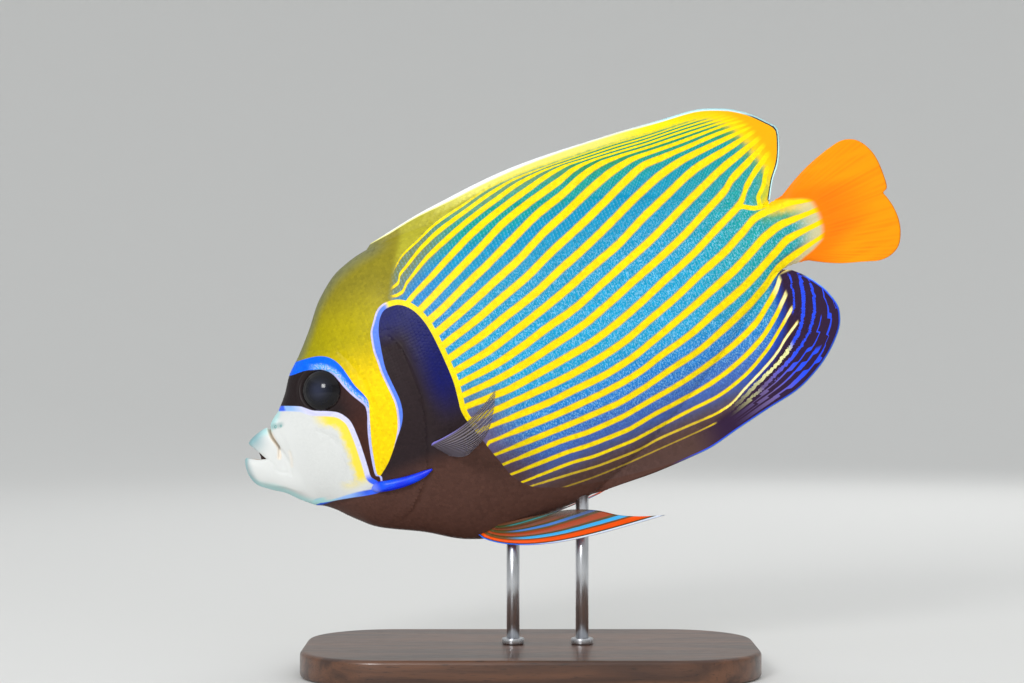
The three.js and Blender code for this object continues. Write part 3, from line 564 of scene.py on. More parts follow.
def stripeFields(along, up):
    # count of the stripe at each place, whole numbers on centre lines, and its half width in the same unit
    lines = [through(points, True)(along) for points in stripes]
    upright, across = stripe["least"]
    count = (lines[0] - up) / stripe["above"]
    space = np.full(len(along), stripe["above"])
    for k in range(1, len(lines)):
        lines[k] = np.minimum(lines[k], lines[k - 1] - upright)
        inside = (up <= lines[k - 1]) & (up > lines[k])
        gap = lines[k - 1] - lines[k]
        count = np.where(inside, k - 1 + (lines[k - 1] - up) / gap, count)
        space = np.where(inside, gap, space)
    count = np.where(up <= lines[-1], len(lines) - 1 + (lines[-1] - up) / stripe["below"], count)
    half = through(stripe["half"])(count) / np.maximum(space * stripe["slant"], across)
    half = np.minimum(half, stripe["widest"])
    for share, reach, counts in stripe["taper"]:
        half *= 1 + share * smoothStep(*reach, along) * smoothStep(*counts, count)
    return count, half


def analFields(flat):
    # count of the fine line at each place of the anal fin and its half width in the same unit
    count, half = np.full(len(flat), -9.0), np.full(len(flat), 0.1)
    start, top = analLine["reach"]
    near = np.flatnonzero((flat[:, 0] > start) & (flat[:, 1] < top))
    closed = [np.vstack([smoothLine(line, 4), analLine["corners"]]) for line in analLines]
    past = [-outsideOf(flat[near], line, 40) for line in closed]
    past = [past[0] + analLine["before"]] + past + [past[-1] - analLine["after"]]
    count[near] = -1 + past[0] / analLine["before"]
    for k in range(len(past) - 1):
        past[k + 1] = np.minimum(past[k + 1], past[k] - analLine["least"])
        inside = (past[k] > 0) & (past[k + 1] <= 0)
        space = past[k] - past[k + 1]
        count[near] = np.where(inside, k - 1 + past[k] / space, count[near])
        half[near] = np.where(inside, np.minimum(analLine["half"] / space, analLine["widest"]), half[near])
    return count, half


def markingFields(places):
    along, across, up = places.T
    fields = {"along": along, "up": up}
    # the markings are laid out as seen from the side, where nearer places spread outwards
    spread = 1 + np.abs(across) / view["distance"]
    seen = np.stack([middle + (values - middle) * spread for values, middle in (
        (along, view["along"]), (up, view["up"]))], -1)
    flat = np.stack([along, up], -1)
    for name in ("muzzle", "browInner", "browOuter", "dark", "lobe", "analZone"):
        fields[name] = outsideOf(seen, smoothLine(markings[name], 6, True))
    for name in ("fork", "extra"):
        fields[name] = distanceTo(seen, smoothLine(markings[name], 6), 4.0)
    tail = up < np.maximum(backAt(along) + 0.6, through(markings["tailTop"], True)(along))
    tail &= up > np.minimum(bellyAt(along) - 0.6, through(markings["tailBottom"], True)(along))
    fields["tailWay"] = np.where(tail, along - through(markings["tailEdge"])(up), -40.0)
    fields["overBelly"] = up - bellyAt(along)
    fields["underBack"] = backAt(along) - up
    for name, steps in (("dorsal", 90), ("anal", 60)):
        roots = np.linspace(*finEnds[name], steps)
        margin = np.stack([finAlong[name](roots), finUp[name](roots)], -1)
        fields[name + "Margin"] = distanceTo(flat, margin, 40.0)
    fields["stripe"], fields["stripeHalf"] = stripeFields(*seen.T)
    fields["fineLine"], fields["fineHalf"] = analFields(seen)
    return fields


# Meshes and pieces

def meshOf(name, bm):
    mesh = bpy.data.meshes.new(name)
    bm.to_mesh(mesh)
    bm.free()
    return mesh


def writeFields(mesh, fields):
    for name, values in fields.items():
        layer = mesh.attributes.new(name, "FLOAT", "POINT")
        layer.data.foreach_set("value", np.asarray(values, np.float32))


def placesOf(mesh):
    flat = np.empty(len(mesh.vertices) * 3, np.float32)
    mesh.vertices.foreach_get("co", flat)
    return flat.reshape(-1, 3).astype(float)


def setPlaces(mesh, places):
    mesh.vertices.foreach_set("co", np.asarray(places, np.float32).ravel())
    mesh.update()


def gridMesh(name, columns, rows, unwrapped=False):
    # a flat grid, with the column and the row of every corner
    bm = bmesh.new()
    if unwrapped:
        bm.loops.layers.uv.new("OFBake")
    bmesh.ops.create_grid(bm, x_segments=columns, y_segments=rows, size=1, calc_uvs=unwrapped)
    mesh = meshOf(name, bm)
    x, y, _ = placesOf(mesh).T
    return mesh, np.rint((x + 1) / 2 * columns).astype(int), np.rint((y + 1) / 2 * rows).astype(int)


def weld(mesh, gap, thinnest=0):
    # joins corners that meet and turns all faces outwards
    bm = bmesh.new()
    bm.from_mesh(mesh)
    bmesh.ops.remove_doubles(bm, verts=bm.verts, dist=gap)
    if thinnest:
        bmesh.ops.dissolve_degenerate(bm, edges=bm.edges, dist=thinnest)
    bmesh.ops.recalc_face_normals(bm, faces=bm.faces)
    bm.to_mesh(mesh)
    bm.free()


def addPiece(name, mesh, material, replaced=()):
    piece = bpy.data.objects.new(name, mesh)
    bpy.context.scene.collection.objects.link(piece)
    mesh.materials.append(material)
    mesh.polygons.foreach_set("use_smooth", [True] * len(mesh.polygons))
    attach(piece, "root")
    if replaced:
        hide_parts(*replaced)
    return piece


# Materials

def paint(red, green, blue):
    # linear colour from a display one of 0 to 255
    parts = [c / 255 for c in (red, green, blue)]
    return [c / 12.92 if c <= 0.04045 else ((c + 0.055) / 1.055) ** 2.4 for c in parts] + [1]


def newMaterial(name):
    material = bpy.data.materials.new(name)
    material.use_nodes = True
    tree = material.node_tree
    return material, tree, tree.nodes["Principled BSDF"]


def field(tree, name):
    node = tree.nodes.new("ShaderNodeAttribute")
    node.attribute_name = name
    return node.outputs["Fac"]


def put(tree, value, socket):
    # a value on a socket, or a link to it
    if isinstance(value, bpy.types.NodeSocket):
        tree.links.new(value, socket)
    else:
        socket.default_value = value


def feed(tree, shader, inputs):
    for word, value in inputs.items():
        put(tree, value, shader.inputs[word])


def sums(tree, operation, *values):
    node = tree.nodes.new("ShaderNodeMath")
    node.operation = operation
    for socket, value in zip(node.inputs, values):
        put(tree, value, socket)
    return node.outputs[0]


def times(tree, *values):
    result = values[0]
    for value in values[1:]:
        result = sums(tree, "MULTIPLY", result, value)
    return result


def step(tree, value, low, high):
    # 0 up to low and 1 from high on, or the other way round when low is above high
    node = tree.nodes.new("ShaderNodeMapRange")
    node.interpolation_type = "SMOOTHSTEP"
    turned = low > high
    feed(tree, node, {"Value": value, "From Min": min(low, high), "From Max": max(low, high),
                      "To Min": float(turned), "To Max": float(not turned)})
    return node.outputs["Result"]


def blend(tree, mask, under, over):
    node = tree.nodes.new("ShaderNodeMix")
    node.data_type = "RGBA"
    feed(tree, node, {"Factor": mask, "A": under, "B": over})
    return node.outputs["Result"]


def noise(tree, scale, detail=2.0, longer=(1, 1, 1), pitch=pose["pitch"], distortion=0.0):
    # scale counts features over a metre, longer draws them out along the fish, across it and up it
    mapping = tree.nodes.new("ShaderNodeMapping")
    mapping.vector_type = "TEXTURE"
    mapping.inputs["Rotation"].default_value = (0, -math.radians(pitch), 0)
    mapping.inputs["Scale"].default_value = longer
    tree.links.new(tree.nodes.new("ShaderNodeTexCoord").outputs["Object"], mapping.inputs["Vector"])
    node = tree.nodes.new("ShaderNodeTexNoise")
    feed(tree, node, {"Vector": mapping.outputs["Vector"], "Scale": scale, "Detail": detail,
                      "Distortion": distortion})
    return node.outputs["Fac"]


def bump(tree, shader, height, distance, strength):
    node = tree.nodes.new("ShaderNodeBump")
    feed(tree, node, {"Strength": strength, "Distance": distance, "Height": height})
    tree.links.new(node.outputs["Normal"], shader.inputs["Normal"])


def dampSkinGroup():
    # fine grain and a patchy, damp roughness for everything that is skin
    group = bpy.data.node_groups.new("dampSkin", "ShaderNodeTree")
    for word, way in (("Grain", "INPUT"), ("Dry", "INPUT"), ("Height", "OUTPUT"), ("Roughness", "OUTPUT")):
        group.interface.new_socket(word, in_out=way, socket_type="NodeSocketFloat")
    given, made = group.nodes.new("NodeGroupInput"), group.nodes.new("NodeGroupOutput")
    driest = sums(group, "SUBTRACT", given.outputs["Dry"], 0.08)
    patchy = sums(group, "MULTIPLY_ADD", noise(group, 60), 0.16, driest)
    group.links.new(times(group, noise(group, 900, 3), given.outputs["Grain"]), made.inputs["Height"])
    group.links.new(patchy, made.inputs["Roughness"])
    return group


dampSkin = dampSkinGroup()


def dampFinish(tree, shader, grain, dry, depth, strength=0.5):
    damp = tree.nodes.new("ShaderNodeGroup")
    damp.node_tree = dampSkin
    feed(tree, damp, {"Grain": grain, "Dry": dry})
    tree.links.new(damp.outputs["Roughness"], shader.inputs["Roughness"])
    bump(tree, shader, damp.outputs["Height"], depth, strength)


skinColours = {
    "teal": paint(0, 152, 140),
    "upperBlue": paint(0, 140, 182),
    "frontBlue": paint(0, 112, 196),
    "frontGrey": paint(116, 126, 88),
    "midBlue": paint(12, 154, 200),
    "lowBlue": paint(26, 122, 200),
    "deepBlue": paint(60, 98, 176),
    "mauve": paint(104, 84, 112),
    "bellyGrey": paint(84, 78, 92),
    "bellyBrown": paint(84, 58, 46),
    "speckle": paint(160, 218, 248),
    "yellow": paint(248, 222, 0),
    "paleLine": paint(248, 246, 170),
    "fringe": paint(205, 160, 60),
    "olive": paint(140, 136, 16),
    "nape": paint(138, 128, 28),
    "cheekYellow": paint(250, 214, 0),
    "foreheadYellow": paint(174, 160, 0),
    "navy": paint(8, 14, 88),
    "gillBrown": paint(42, 31, 34),
    "breastBrown": paint(84, 56, 48),
    "maskDark": paint(36, 27, 28),
    "maskBrown": paint(58, 34, 32),
    "maskLow": paint(66, 36, 28),
    "bandBlue": paint(0, 105, 255),
    "bandLight": paint(85, 165, 240),
    "lavender": paint(200, 198, 250),
    "rimWhite": paint(216, 216, 250),
    "rimLight": paint(150, 190, 252),
    "rimDeep": paint(60, 104, 244),
    "lineBlue": paint(92, 132, 245),
    "muzzle": paint(217, 219, 217),
    "muzzleRim": paint(178, 226, 226),
    "muzzleYellow": paint(250, 226, 16),
    # painted shading of the lips
    "lipTeal": paint(120, 160, 168),
    "lipPeach": paint(246, 222, 190),
    # painted shade in the lip groove
    "foldBrown": paint(112, 92, 66),
    "innerLip": paint(200, 158, 112),
    "spotTeal": paint(96, 150, 150),
    # painted shade inside the mouth
    "throat": paint(52, 24, 20),
    "marginWhite": paint(245, 250, 250),
    "marginCream": paint(242, 238, 150),
    "rearWhite": paint(205, 248, 252),
    "rearDark": paint(30, 50, 50),
    "dorsalGreen": paint(42, 146, 100),
    "dorsalGrey": paint(120, 150, 100),
    "dorsalOlive": paint(172, 166, 44),
    "dorsalPale": paint(232, 226, 112),
    "dorsalYellow": paint(244, 228, 8),
    "lobeOrange": paint(255, 172, 0),
    "lobeYellow": paint(255, 205, 0),
    "lobeGreen": paint(108, 158, 76),
    "analBlueGround": paint(28, 66, 170),
    "analDark": paint(48, 28, 56),
    "analBlue": paint(40, 80, 250),
    "analLavender": paint(124, 106, 166),
    "analRim": paint(140, 190, 255),
    "tailOrange": paint(250, 126, 0),
    "tailDeep": paint(232, 102, 0),
    # painted shade under the back's edge on the forehead
    "edgeGrey": paint(112, 118, 92),
    "tailYellow": paint(255, 152, 0),
    "tailRoot": paint(218, 204, 152),
}

# How the skin is painted. A layer is a paint, its share, and then what it is limited to: a field with the
# values where the paint starts and where it is full, or a field that is the limit itself.

skinMixes = {
    # paints that change from place to place, each as layers over the first
    "pale": [("dorsalPale",), ("dorsalYellow", 1, ("along", 200, 232))],
    "lobePaint": [("lobeYellow",), ("lobeOrange", 1, ("lobe", -2, -8))],
    "stripePaint": [("yellow",), ("paleLine", 1, ("whitish",))],
    "finePaint": [("analLavender",), ("analBlue", 1, ("along", 232, 254)), ("paleLine", 1, ("paleEnd",))],
    "forehead": [("foreheadYellow",), ("cheekYellow", 1, ("up", 32, 4)), ("nape", 1, ("up", 34, 54)),
                 ("olive", 0.7, ("along", 64, 38), ("up", 22, 34))],
    "shoulderEdge": [("lineBlue",), ("lavender", 1, ("shoulderEdgeIn", 1.1, 0.6))],
    "shoulder": [("gillBrown",), ("navy", 1, ("along", 84, 96)), ("gillBrown", 1, ("up", -2, -26)),
                 ("navy", 1, ("up", 18, 32)), ("breastBrown", 1, ("up", -30, -42))],
    "browBand": [("bandBlue",), ("bandLight", 1, ("along", 40, 47), ("browInner", 3.4, 1.6)),
                 ("lavender", 0.8, ("streaks", 0.46, 0.6), ("along", 40, 47), ("browInner", 3.4, 1.6)),
                 ("lavender", 0.9, ("browInner", 1.3, 0.7), ("along", 49, 53))],
    "eyeMask": [("maskDark",), ("maskBrown", 1, ("along", 46, 56)), ("maskLow", 1, ("up", 2, -12))],
    "lowRim": [("rimLight",), ("rimDeep", 1, ("along", 36, 46)), ("muzzleRim", 1, ("along", 34, 26))],
    "rim": [("rimWhite",), ("rimLight", 1, ("along", 34, 26)), ("rimDeep", 1, ("along", 24.5, 23)),
            ("muzzleRim", 1, ("along", 21, 19.5)), ("lowRim", 1, ("up", -30, -34))],
    # white muzzle, with painted cyan shading along its top and bottom edges
    "muzzlePaint": [("muzzle",), ("muzzleRim", 0.85, ("mouthTeal",)),
                    ("muzzleYellow", 0.9, ("yellowIn", -8.6, -4.8), ("along", 33, 42), ("up", -36, -30)),
                    # painted teal-grey shading over the lips and along their front edge
                    ("lipTeal", 0.85, ("along", 13, 5), ("up", -6, 5)),
                    ("lipTeal", 0.6, ("along", 0.5, -3.4))],
    "tailPaint": [("tailOrange",), ("tailYellow", 1, ("tailWay", 4, 32)),
                  ("tailDeep", 0.5, ("tailRay",), ("tailWay", -2, 8), ("tailPatch", 0.35, 0.65))],
    "margin": [("marginCream",), ("marginWhite", 1, ("whiteIn", 0.0, 0.9)),
               ("rearWhite", 1, ("along", 215, 240))],
    "analEdge": [("analBlue",), ("analRim", 1, ("analMargin", 0.5, 0.2))],
}
skinEither = {
    # limits that are the stronger of two
    "light": [(0.46, ("streaks", 0.5, 0.64), ("up", 46, 14), ("up", -60, -40)),
              (0.24, ("tip", 0.66, 1.0), ("up", -60, -40))],
    "brown": [(1, ("up", -57, -70)), (1, ("along", 132, 108), ("up", -38, -58))],
    "whitish": [(1, ("stripe", 19.2, 19.8), ("along", 208, 225)),
                (1, ("stripe", 16.5, 16.8), ("along", 252, 256))],
    "paleEnd": [(1, ("fineLine", 0.5, 0.4), ("along", 254, 249)),
                (1, ("fineLine", 1.5, 1.4), ("along", 233, 226))],
    "maskEnd": [(1, ("up", -35.6, -34.6)), (1, ("along", 44, 46), ("up", -38.6, -37.2))],
    # painted cyan shading along the top and bottom edges of the muzzle
    "mouthTeal": [(1, ("underBack", 4.5, 0.8), ("along", 28, 18)),
                  (1, ("overBelly", 5, 1), ("along", 40, 26))],
}
skinLess = {
    # limits of which the later rows are taken away
    "striped": [(1, ("stripe", -0.5, -0.3), ("firstOnes", 65, 67.5), ("stripe", 21.6, 21.5), ("lobe", -9, -4),
                 ("dorsalMargin", 2.0, 6.5)),
                (1, ("along", 257.6, 259.6), ("up", -15.5, -17.5)),
                (1, ("stripe", 20.4, 20.6), ("along", 204, 207)),
                (0.75, ("stripe", 18.8, 20.8), ("along", 215, 195))],
    "fineShown": [(0.9, ("along", 212, 244), ("fineLine", -1.4, -1.3), ("fineLine", 4.5, 4.4),
                   ("up", -14.5, -17)),
                  (1, ("fineLine", -0.5, -0.6), ("fineInner",)),
                  (1, ("fineLine", 1.5, 1.6), ("fineLine", 2.5, 2.4), ("up", -43, -41)),
                  (1, ("fineLine", 2.5, 2.6), ("fineLine", 3.5, 3.4), ("up", -56, -54))],
    "fineInner": [(1,), (1, ("up", -37, -34), ("up", -17, -20))],
    "unstriped": [(1,), (1, ("stripeIn", -0.02, 0.02), ("striped",))],
}
skinLayers = [
    # ground between the stripes, from teal on the back through blue to brown on the belly
    ("teal",),
    ("upperBlue", 1, ("wavyUp", 56, 44)),
    ("midBlue", 1, ("wavyUp", 28, -4)),
    ("lowBlue", 1, ("wavyUp", -18, -38)),
    ("deepBlue", 1, ("wavyUp", -36, -54)),
    ("bellyGrey", 0.9, ("wavyUp", -50, -66)),
    ("frontBlue", 0.6, ("along", 124, 101), ("up", 50, 42), ("up", 2, 22)),
    ("frontGrey", 0.9, ("along", 136, 106), ("stripe", 2.9, 1.3)),
    ("teal", 0.85, ("along", 205, 262), ("up", -44, -16)),
    ("speckle", 1, ("light",)),
    ("mauve", 0.9, ("along", 128, 103), ("up", -4, -26)),
    ("bellyBrown", 0.9, ("brown",)),
    # dorsal fin: green, then pale, towards its edge, and orange at its rear
    ("dorsalGrey", 0.75, ("dorsalMargin", 14, 8), ("along", 116, 136), ("along", 216, 190)),
    ("dorsalGreen", 1, ("dorsalMargin", 18, 11), ("along", 165, 200), ("up", 44, 52)),
    ("dorsalOlive", 1, ("stripe", 0.0, -0.5), ("along", 90, 97), ("up", 40, 44)),
    ("pale", 1, ("paleIn", 5.6, 3.4), ("along", 112, 146)),
    ("lobeGreen", 0.6, ("lobeIn", 8, 2.5), ("up", 64, 58)),
    ("lobePaint", 1, ("lobeIn", 3.8, -1.6)),
    # anal fin: blue, then nearly black towards its edge
    ("analBlueGround", 1, ("analZone", 8.5, 1.5), ("along", 216, 236), ("up", -14, -21)),
    ("analDark", 1, ("analZone", 3.0, -2.0), ("along", 190, 210)),
    # yellow stripes with a thin orange edge, and fine lines that follow the edge of the anal fin
    ("fringe", 0.8, ("stripeIn", -0.07, -0.03), ("striped",), ("dorsalMargin", 8, 14)),
    ("stripePaint", 1, ("stripeIn", -0.02, 0.02), ("striped",)),
    ("yellow", 1, ("fork", 1.3, 0.9)),
    ("yellow", 1, ("extra", 1.2, 0.8)),
    ("finePaint", 1, ("fineIn", 1.2, 0.7), ("fineShown",)),
    # olive forehead and nape, yellow cheek
    ("nape", 1, ("firstOnes", 69, 64), ("up", 28, 38)),
    ("forehead", 1, ("along", 92, 78)),
    # painted shade on the forehead, just under the back's edge
    ("edgeGrey", 0.7, ("underBack", 7.5, 0.5), ("along", 100, 86)),
    # shoulder patch, gill opening and breast
    ("yellow", 1, ("dark", 2.7, 2.3), ("along", 82, 86), ("up", -30, -27)),
    ("shoulderEdge", 1, ("shoulderEdgeIn", -0.2, 0.2), ("along", 87, 84), ("up", -25, -22)),
    ("shoulder", 1, ("dark", 0.2, -0.2)),
    # eye mask between the blue brow band and the muzzle
    ("browBand", 1, ("browOuter", 0.2, -0.2), ("up", -37, -35.5)),
    ("eyeMask", 1, ("browInner", 0.2, -0.2), ("maskEnd",)),
    ("rim", 1, ("muzzle", 0.3, -0.1)),
    ("muzzlePaint", 1, ("muzzleIn", 0.4, -0.4)),
    ("lipPeach", 0.45, ("peach",)),
    # painted shade along the groove between the lips and the cheek
    ("foldBrown", 0.75, ("fold",)),
    ("spotTeal", 0.5, ("nostril",)),
    # tan inner edge of the lips, then painted shade inside the mouth
    ("innerLip", 1, ("inMouth", 0.05, 0.5)),
    ("throat", 1, ("inMouth", 0.5, 1.0)),
    # tail fin, with whitish gaps between the last stripes
    ("tailRoot", 0.85, ("tailWay", -15, -3), ("unstriped",), ("up", 12, 8.5)),
    ("tailPaint", 1, ("tailWay", -2.2, 1.8)),
    # white edge of the dorsal fin, blue edge of the anal fin
    ("margin", 1, ("whiteIn", -0.3, 0.15), ("up", 15, 17)),
    ("rearDark", 1, ("dorsalMargin", 1.35, 1.1), ("dorsalMargin", 0.6, 0.75), ("along", 264, 268),
     ("up", 60, 54), ("up", 15, 17)),
    ("analEdge", 1, ("analMargin", 1.0, 0.65), ("along", 178, 200), ("up", -20, -24)),
]


def skinMaterial():
    material, tree, shader = newMaterial("fishSkin")
    made = {}

    def value(name):
        # a field, or a limit that is made once
        if name not in made:
            if name in skinEither:
                made[name] = sums(tree, "MAXIMUM", *[limit(*row) for row in skinEither[name]])
            elif name in skinLess:
                first, *others = skinLess[name]
                made[name] = limit(*first)
                for row in others:
                    made[name] = times(tree, made[name], sums(tree, "SUBTRACT", 1.0, limit(*row)))
            else:
                made[name] = field(tree, name)
        return made[name]

    def limit(share, *ramps):
        parts = [step(tree, value(name), *ends) if ends else value(name) for name, *ends in ramps]
        return times(tree, *parts, share) if share != 1 or not parts else times(tree, *parts)

    def painted(layers):
        (name,), *others = layers
        colour = skinColours[name]
        for name, *limits in others:
            over = painted(skinMixes[name]) if name in skinMixes else skinColours[name]
            colour = blend(tree, limit(*limits), colour, over)
        return colour

    def wider(amount, plus, *ramps):
        return sums(tree, "MULTIPLY_ADD", limit(1, *ramps), amount, plus)

    grain = noise(tree, 420)
    made["streaks"] = noise(tree, 1900, 2, (1, 1, 2.0))
    made["tailPatch"] = noise(tree, 160, 2, (6, 1, 1))
    # fields that the noise makes uneven: name, field, noise, its strength and what is taken off
    for name, source, uneven, strength, less in (
            ("wavyUp", "up", noise(tree, 45), 8.0, 4.0), ("paleIn", "dorsalMargin", grain, 1.6, 0.8),
            ("lobeIn", "lobe", grain, 3.0, 0.0), ("yellowIn", "muzzle", grain, 4.0, 2.0)):
        made[name] = sums(tree, "MULTIPLY_ADD", uneven, strength, sums(tree, "SUBTRACT", value(source), less))

    # how far inside a stripe or a fine line each place is
    def fromNearest(count):
        return sums(tree, "ABSOLUTE", sums(tree, "SUBTRACT", count, sums(tree, "ROUND", count)))

    waver = sums(tree, "MULTIPLY_ADD", noise(tree, 260), 0.05, -0.025)
    apart = sums(tree, "ADD", fromNearest(value("stripe")), waver)
    made["stripeIn"] = sums(tree, "SUBTRACT", value("stripeHalf"), apart)
    made["fineIn"] = sums(tree, "DIVIDE", fromNearest(value("fineLine")), value("fineHalf"))
    slant = sums(tree, "MULTIPLY", sums(tree, "MAXIMUM", value("up"), 41.0), 0.55)
    made["firstOnes"] = sums(tree, "SUBTRACT", value("along"), slant)

    # widths of the shoulder's light edge, of the muzzle's rim and of the dorsal fin's white edge
    edge = wider(1.1, wider(2.5, 0.15, ("up", -23, -9)), ("up", 12, 22), ("up", 34, 28))
    made["shoulderEdgeIn"] = sums(tree, "SUBTRACT", edge, value("dark"))
    rim = wider(-1.6, 2.3, ("up", -33, -35.5), ("along", 44, 28))
    made["muzzleIn"] = sums(tree, "ADD", value("muzzle"), rim)
    white = wider(1.1, wider(0.8, 0.1, ("along", 86, 100)), ("along", 104, 138))
    white = times(tree, white, wider(-0.5, 1.0, ("along", 150, 208)))
    made["whiteIn"] = sums(tree, "SUBTRACT", white, value("dorsalMargin"))

    lightness = tree.nodes.new("ShaderNodeVectorMath")
    lightness.operation = "SCALE"
    tree.links.new(painted(skinLayers), lightness.inputs[0])
    tree.links.new(sums(tree, "MULTIPLY_ADD", value("tone"), 0.22, 0.87), lightness.inputs["Scale"])
    dampFinish(tree, shader, 0.6, 0.44, 0.0001)
    feed(tree, shader, {"Base Color": lightness.outputs[0], "Specular IOR Level": 0.12, "Coat Weight": 0.03,
                        "Coat Roughness": 0.3})
    return material


fishSkin = skinMaterial()


nostrils = {
    "spots": [((16.2, 5.5), 0.62), ((18.6, 5.1), 0.5)],     # place and radius
    "profile": [(0.0, -0.5), (0.4, -0.45), (0.62, -0.1), (0.8, 0.26), (1.0, 0.3), (1.25, 0.08), (1.5, -0.2)],
}
mouthTints = {
    # tints along the creases and round the nostrils, and painted shade in the lip groove: distance where each
    # ends and where it is full
    "peach": (1.5, 0.5),
    "peachReach": 14.5,     # how far back it goes
    "lowPeach": (1.4, 0),   # along the crease behind the mouth's corner, at half strength
    "fold": (0.75, 0.25),
    "foldEnds": [(6.2, 5), (-6, -4.4)],     # by height
    "nostril": (2.0, 0.5),
    "nostrilShape": (1.5, 1),
}


# Skin of the whole fish with its median fins and tail, in one piece

def buildSkin():
    zones = columnLayout()
    stations = np.concatenate([
        np.linspace(grid["headStart"], grid["torsoStart"], grid["headRows"] + 1)[:-1],
        np.linspace(grid["torsoStart"], body["stalkEnd"], grid["torsoRows"] + 1),
    ])
    tailSteps = np.linspace(0, 1, grid["tailRows"] + 1)[1:] ** grid["tailCrowding"]
    mouthRows = grid["mouthRows"]
    tailStart = mouthRows + len(stations)
    places = np.empty((tailStart + len(tailSteps), len(zones), 3))
    downs = np.array([{"side": t, "dorsal": 0.0, "anal": 1.0}[zone] for zone, _, t in zones])
    for side in (-1, 1):
        columns = [k for k, (_, s, _) in enumerate(zones) if s == side]
        places[:mouthRows, columns] = mouthPlaces(side, downs[columns], mouthRows)[:mouthRows]
    for k, (zone, side, t) in enumerate(zones):
        places[mouthRows:tailStart, k] = skinPlace(stations, zone, side, np.full(len(stations), t))
        places[tailStart:, k] = tailPlace(tailSteps, side, downs[k])

    mesh, column, row = gridMesh("skin", len(zones), len(places) - 1, True)
    column %= len(zones)
    setPlaces(mesh, toWorld(places[row, column]))
    # painted shade inside the mouth, full deep in the throat
    inMouth = np.interp(row / mouthRows, grid["throat"], [1, 0])
    tailRay = ripple(2 * tailFin["rays"] * downs[column]) * (row >= tailStart)
    writeFields(mesh, {"inMouth": inMouth, "tailRay": tailRay})
    weld(mesh, 0.00001, 0.000005)

    fish = toFish(placesOf(mesh))
    along, _, up = fish.T
    normals = np.empty(len(mesh.vertices) * 3, np.float32)
    mesh.vertices.foreach_get("normal", normals)
    inFin = (up > backAt(along) + 1) | (up < bellyAt(along) - 1) | (along > relief["end"])
    lump, lumpSize = relief["lumps"]
    high = headRelief(along, up) * smoothStep(*relief["start"], along) + lump * softLumps(fish, lumpSize, 3)
    high = np.where(inFin, 0, high)
    setPlaces(mesh, placesOf(mesh) + normals.reshape(-1, 3) * high[:, None] / 1000)
    fish = toFish(placesOf(mesh))
    writeFields(mesh, markingFields(fish))
    flat = fish[:, [0, 2]]
    groove, fold = (distanceTo(flat, smoothLine(relief["creases"][k][0]), 3.0) for k in (0, 2))
    peach = smoothStep(*mouthTints["peach"], groove) * (flat[:, 0] < mouthTints["peachReach"])
    nostril = [smoothStep(*mouthTints["nostril"], np.hypot(*((flat - spot) / mouthTints["nostrilShape"]).T))
               for spot, _ in nostrils["spots"]]
    writeFields(mesh, {
        "tone": np.full(len(flat), 0.5),
        "tip": np.full(len(flat), 0.3),
        "peach": peach + 0.5 * smoothStep(*mouthTints["lowPeach"], fold),
        # painted shade along the lip groove
        "fold": smoothStep(*mouthTints["fold"], groove) * math.prod(
            smoothStep(*ends, flat[:, 1]) for ends in mouthTints["foldEnds"]),
        "nostril": np.max(nostril, 0),
    })
    return addPiece("skin", mesh, fishSkin, [
        "head", "upper_lip", "lower_lip", "gill_cover_left", "gill_cover_right", "torso", "tail_stalk",
        "dorsal_fin", "anal_fin", "tail_fin"])


skin = buildSkin()
print("skin", len(skin.data.vertices), "vertices")

bm = bmesh.new()
bm.from_mesh(skin.data)
skinTree = BVHTree.FromBMesh(bm)
bm.free()


# Scales, set in staggered rows on the skin and leaning back over one another

scales = {
    # spacing of the rows, in millimetres, along the body
    "spacing": [(22, 0.85), (45, 1.05), (70, 1.3), (95, 1.62), (190, 1.75), (245, 1.5), (274, 1.15)],
    "reach": (22.5, 272),   # first row and end
    "closeness": 0.98,      # spacing down a row, of the spacing of the rows
    "length": 1.75,         # of the spacing, so that each row covers the root of the next
    "width": 1.2932,        # of the spacing too
    "finSpacing": [(86, 1.3), (180, 1.4), (266, 1.1)],
    "finEnds": (3, 1),      # bare stretch at the start and at the end of a median fin
    "finReach": (0.02, 0.7),    # from where to where up the median fins they grow
    "lift": 0.065,          # height of the free edge, of the spacing
    "outline": [(0.0, -0.34), (0.0, 0.34), (0.3, 0.47), (0.62, 0.5), (0.84, 0.36), (0.97, 0.13),
                (0.97, -0.13), (0.84, -0.36), (0.62, -0.5), (0.3, -0.47)],
    "crown": (0.5, 1.15),   # place and height of the middle
    "shift": -0.32,         # of the root from its place, of the length
    # spread of the turn, length, width, lift and tone by chance
    "spread": (0.05, 0.05, 0.04, 0.2, 0.25),
    "patch": 0.003,         # size on the unwrapped skin
    "eyeGap": 1.6,
    "pectoralGap": 3.5,
    "muzzleLift": 0.4,      # share of the lift on the muzzle, where they are half buried
    "gillGaps": (0.9, 2.6),     # bare skin ahead of the gill opening and behind it
    "gillEnds": (-57, 27),
    "pieces": [("head", 96), ("flank", 178), ("rear", 280)],    # name and where it ends
    "bare": [(-10, 20), (21, 16), (24, 10), (24, 2), (23, -6), (22, -14), (22, -24), (20, -34), (24, -44),
             (-10, -44)],
}


